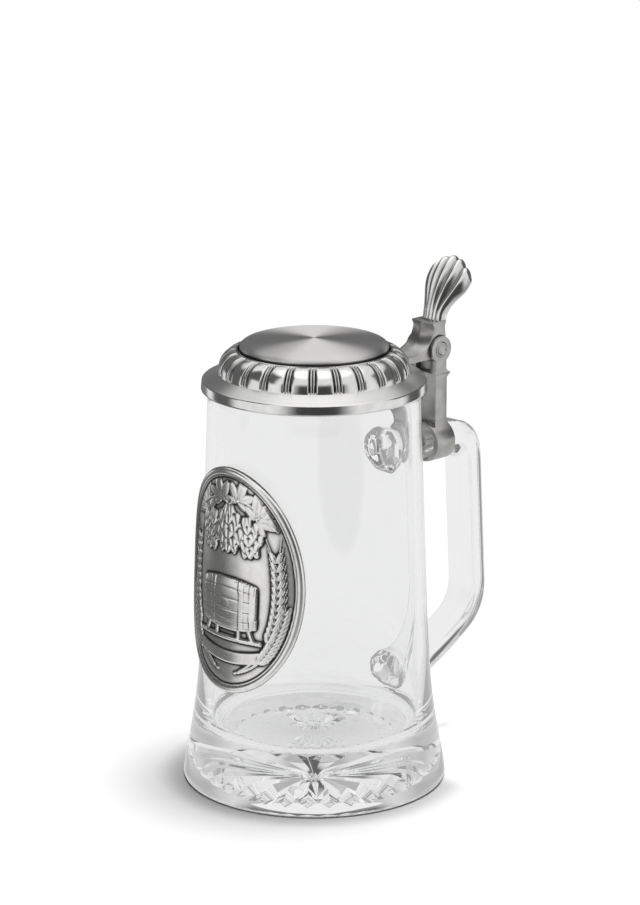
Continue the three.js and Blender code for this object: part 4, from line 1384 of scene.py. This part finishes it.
for bine in (((-21, 22), (-6, 37), (3, 27)), ((21, 22), (6, 38), (-3, 27))):
    lay(ridge_form(curve_points(bine, 20)[0], width=0.5, rise=0.6))
for flip in (1, -1):
    hop_leaf(flip * 12.5, 25.5, 90 - flip * 52, 10.5)
    hop_leaf(flip * 4.0, 31.0, 90 - flip * 22, 8.0)
print("Highest leaves", round(float(relief.max()), 2), "mm")

# %% [markdown]
# A hop cone hangs from the bine and is covered with overlapping scales, the bracts. Each tip stands
# clear of the scale below it. So the bracts are laid from the tip of the cone up to its stem, and each
# one replaces what it covers, even where it is lower.

# %% Hop cones
CONE_ROWS, CONE_HALF_WIDTH, BRACT_LENGTH, BRACT_FAN = 5, 0.34, 0.19, 14
BRACT_CREASE, CREASE_SHARE = 0.25, 0.2


def bract_form(x, y, degrees, long, short, rise):
    """A pointed scale whose tip stands clear of the scale below it."""
    along, beside = turned_grid(x, y, degrees)
    along, beside = along / long, beside / short
    room = 1 - along ** 2 - (beside / np.clip(1 - 0.45 * along, 0.3, 1.5)) ** 2
    swell = rise * (0.6 + 0.4 * along) + 0.3 * np.sqrt(np.maximum(room, 0))
    return np.where(room > 0, swell - BRACT_CREASE * np.exp(-(beside / CREASE_SHARE) ** 2), 0)


def hop_cone(x, y, degrees, size):
    """A hanging cone of overlapping bracts."""
    for row in range(CONE_ROWS, -1, -1):
        part = row / CONE_ROWS
        wide = size * CONE_HALF_WIDTH * math.sin(math.pi * (0.20 + 0.66 * (1 - part)))
        middle = step_along(x, y, degrees, size * part)
        for place in ((-1, 1, 0) if row % 2 else (-0.55, 0.55)):
            bract = bract_form(
                *step_along(*middle, degrees + 90, place * wide), degrees + place * BRACT_FAN,
                long=size * BRACT_LENGTH, short=wide / 2 + 0.5, rise=1.3 - 0.5 * abs(place))
            np.copyto(relief, bract, where=bract > 0)


hop_cone(-8.6, 24.0, -98, 11.5)
hop_cone(8.6, 24.0, -82, 11.5)
hop_cone(0.0, 27.0, -90, 13.5)
print("Highest hops", round(float(relief.max()), 2), "mm")

# %% [markdown]
# The cask lies on its side: its outline is wider in the middle, its staves look narrower towards the
# top and bottom edges because they turn away, and four hoops hold it. A bung is in its belly. Legs and
# a rail make the cradle, and a plain ribbon hangs below.

# %% Cask on its cradle
CASK_Y, CASK_HALF_LENGTH, CASK_HALF_HEIGHT, CASK_TAPER = -8.5, 13.2, 10.2, 0.2
CASK_EDGE, CASK_SWELL, STAVES, STAVE_GAP, STAVE_GROOVE = 0.5, 1.05, 7, 0.16, 0.2
HOOPS, HOOP_RISE, HOOP_HALF = (-0.86, -0.52, 0.52, 0.86), 0.26, 0.075
RAIL_Y, RIBBON_LIFT = CASK_Y - 13.4, 0.62

side_place = grid_u / CASK_HALF_LENGTH
beside = (grid_v - CASK_Y) / (CASK_HALF_HEIGHT * (1 - CASK_TAPER * side_place ** 2))
on_cask = (np.abs(side_place) < 1) & (np.abs(beside) < 1)
stave = np.abs(np.sin(np.arcsin(np.clip(beside, -1, 1)) * STAVES + math.pi / 2))
cask = CASK_EDGE + CASK_SWELL * np.sqrt(np.maximum(1 - beside ** 2, 0))
cask -= STAVE_GROOVE * np.exp(-(stave / STAVE_GAP) ** 2)
for hoop in HOOPS:
    cask += HOOP_RISE * (np.abs(side_place - hoop) < HOOP_HALF)
lay(np.where(on_cask, cask, 0))
lay(oval_form(0, CASK_Y, 0, long=1.5, short=1.5, rise=0.35, base=1.55))
for flip in (1, -1):
    outer_leg = [(flip * 9.6, CASK_Y - 8.3), (flip * 11.6, RAIL_Y + 0.2)]
    inner_leg = [(flip * 5.4, CASK_Y - 9.2), (flip * 5.4, RAIL_Y + 0.2)]
    lay(ridge_form(outer_leg, width=1.0, rise=0.8))
    lay(ridge_form(inner_leg, width=0.9, rise=0.7))
lay(ridge_form([(-14.5, RAIL_Y), (14.5, RAIL_Y)], width=0.9, rise=0.9))
ribbon = curve_points(((-15, -27.2), (0, -31.2), (15, -27.2)), 24)[0]
lay(np.minimum(ridge_form(ribbon, width=2.3, rise=1.1), RIBBON_LIFT))
print("Relief reaches", round(float(relief.max()), 2), "mm")

# %% [markdown]
# The frame is a broad rounded band with a fine groove and a thin line inside it, and the field is
# plain. The relief fades out before the frame and never stands much higher than it, so that the frame
# takes the wear.

# %% Field and frame
PLATE_BACK, FIELD_LIFT, FRAME_TOP = 1.1, 2.3, 3.2
RELIEF_SCALE, RELIEF_OVER = 0.72, 0.25
FRAME_END, FADE_START, FADE_WIDTH = 3.6, 3.9, 1.2
FRAME_STEPS = np.array([
    (0.0, 2.05), (0.12, 2.35), (0.45, 2.85), (0.9, 3.12), (1.5, FRAME_TOP), (2.1, 3.1), (2.5, 2.86),
    (2.7, 2.6), (2.82, 2.55), (3.0, 2.62), (3.25, 2.62), (3.5, 2.3), (3.8, FIELD_LIFT - 0.05),
    (5.5, FIELD_LIFT), (60, FIELD_LIFT)])

frame_height = np.interp(inset, FRAME_STEPS[:, 0], FRAME_STEPS[:, 1])
inside = np.clip((inset - FADE_START) / FADE_WIDTH, 0, 1)
struck = np.minimum(frame_height + RELIEF_SCALE * relief * inside, FRAME_TOP + RELIEF_OVER)
lift = np.where(inset > FRAME_END, struck, frame_height)
print("Plate is up to", round(float(lift.max()) - PLATE_BACK, 2), "mm thick")

# %% [markdown]
# Patina stays where a polishing cloth doesn't reach: in hollows, on the field close round the forms,
# and along the frame's foot. A hollow is where the smoothed height is more than the height itself.

# %% Patina
HOLLOW_GAIN, SHADE_GAIN, SHADE_MOST = 7.0, 1.5, 0.85
FORM_LEAST, FORM_LOW, SHADE_LINE, SHADE_HALF = 0.05, 0.25, 3.75, 0.45


def blurred(values, times):
    """Values smoothed over neighbouring points of the grid."""
    for _ in range(times):
        padded = np.pad(values, 1, mode="edge")
        beside_it = padded[:-2, 1:-1] + padded[2:, 1:-1] + padded[1:-1, :-2] + padded[1:-1, 2:]
        values = (beside_it + 4 * values) / 8
    return values


hollows = np.clip((blurred(lift, 16) - lift) * HOLLOW_GAIN, 0, 1)
forms = (relief * inside > FORM_LEAST).astype(float)
near_forms = np.clip(blurred(forms, 40) * SHADE_GAIN, 0, SHADE_MOST) * (relief < FORM_LOW)
frame_shade = np.clip(1 - np.abs(inset - SHADE_LINE) / SHADE_HALF, 0, 1)
recess_map = np.clip(hollows + near_forms * (inset > FRAME_END) + frame_shade, 0, 1)
print("Patina covers", round(float(recess_map.mean()), 2), "of the plate")

# %% [markdown]
# Bending is a change of coordinates: across the oval becomes an angle round the wall, up stays up, and
# the lift is added to the wall's radius. The back is a few plain rings that close the plate from its
# outline.

# %% Bend and close the plate
BACK_RINGS = (
    (1.0, PLATE_BACK + 0.3), (0.99, PLATE_BACK), (0.7, PLATE_BACK), (0.4, PLATE_BACK),
    (0.1, PLATE_BACK))


def on_wall(u, v, lift):
    """Places on the wall for points of the oval."""
    angle = math.pi + u / wall_radius(OVAL_Z)
    z = OVAL_Z + v
    radius = wall_radius(z) + lift
    return np.stack([radius * np.cos(angle), radius * np.sin(angle), z], axis=-1)


numbers = np.arange(grid_u.size).reshape(grid_u.shape)
front_faces = np.stack([
    numbers[:-1, :-1], numbers[1:, :-1], numbers[1:, 1:], numbers[:-1, 1:]], -1).reshape(-1, 4)
outline = np.concatenate([
    numbers[:-1, 0], numbers[-1, :-1], numbers[:0:-1, -1], numbers[0, :0:-1]])
edge_u, edge_v = grid_u.ravel()[outline], grid_v.ravel()[outline]
plate_points = [on_wall(grid_u, grid_v, lift).reshape(-1, 3)]
plate_faces = front_faces.tolist()
last_ring = outline
for share, back_lift in BACK_RINGS:
    ring = sum(len(group) for group in plate_points) + np.arange(len(outline))
    plate_points.append(on_wall(edge_u * share, edge_v * share, back_lift))
    plate_faces += np.stack([
        last_ring, ring, np.roll(ring, -1), np.roll(last_ring, -1)], -1).tolist()
    last_ring = ring
plate_faces.append(last_ring.tolist())
medallion = add_piece("medallion_plate", np.vstack(plate_points), plate_faces)
plain_back = np.zeros(len(medallion.data.vertices) - grid_u.size)
note(medallion, "recess", np.concatenate([recess_map.ravel(), plain_back]))
smooth(medallion, 80)
wear(medallion, antique_pewter, "mug", "antique_pewter", "medallion")

# %% [markdown]
# ## Glue pad
# A thin grey pad holds the medallion. It only shows through the glass from behind, so the CAD solid
# stays and gets a matt finish with a little unevenness.

# %% Glue pad
glue, tree, shader = finish("glue_pad")
plug(tree, shader, {
    "Base Color": tones(tree, object_noise(tree, scale=400, detail=4.0), [
        (0.3, (0.26, 0.26, 0.255)), (0.7, (0.36, 0.36, 0.35))]),
    "Roughness": ranged(tree, object_noise(tree, scale=700), 0.0, 1.0, first=0.6, last=0.85),
    "Normal": raised(tree, object_noise(tree, scale=500), strength=0.4, distance=0.05)})
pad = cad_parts["medallion_adhesive"]
pad.data.materials.clear()
pad.data.materials.append(glue)
print("Glue pad has its finish")
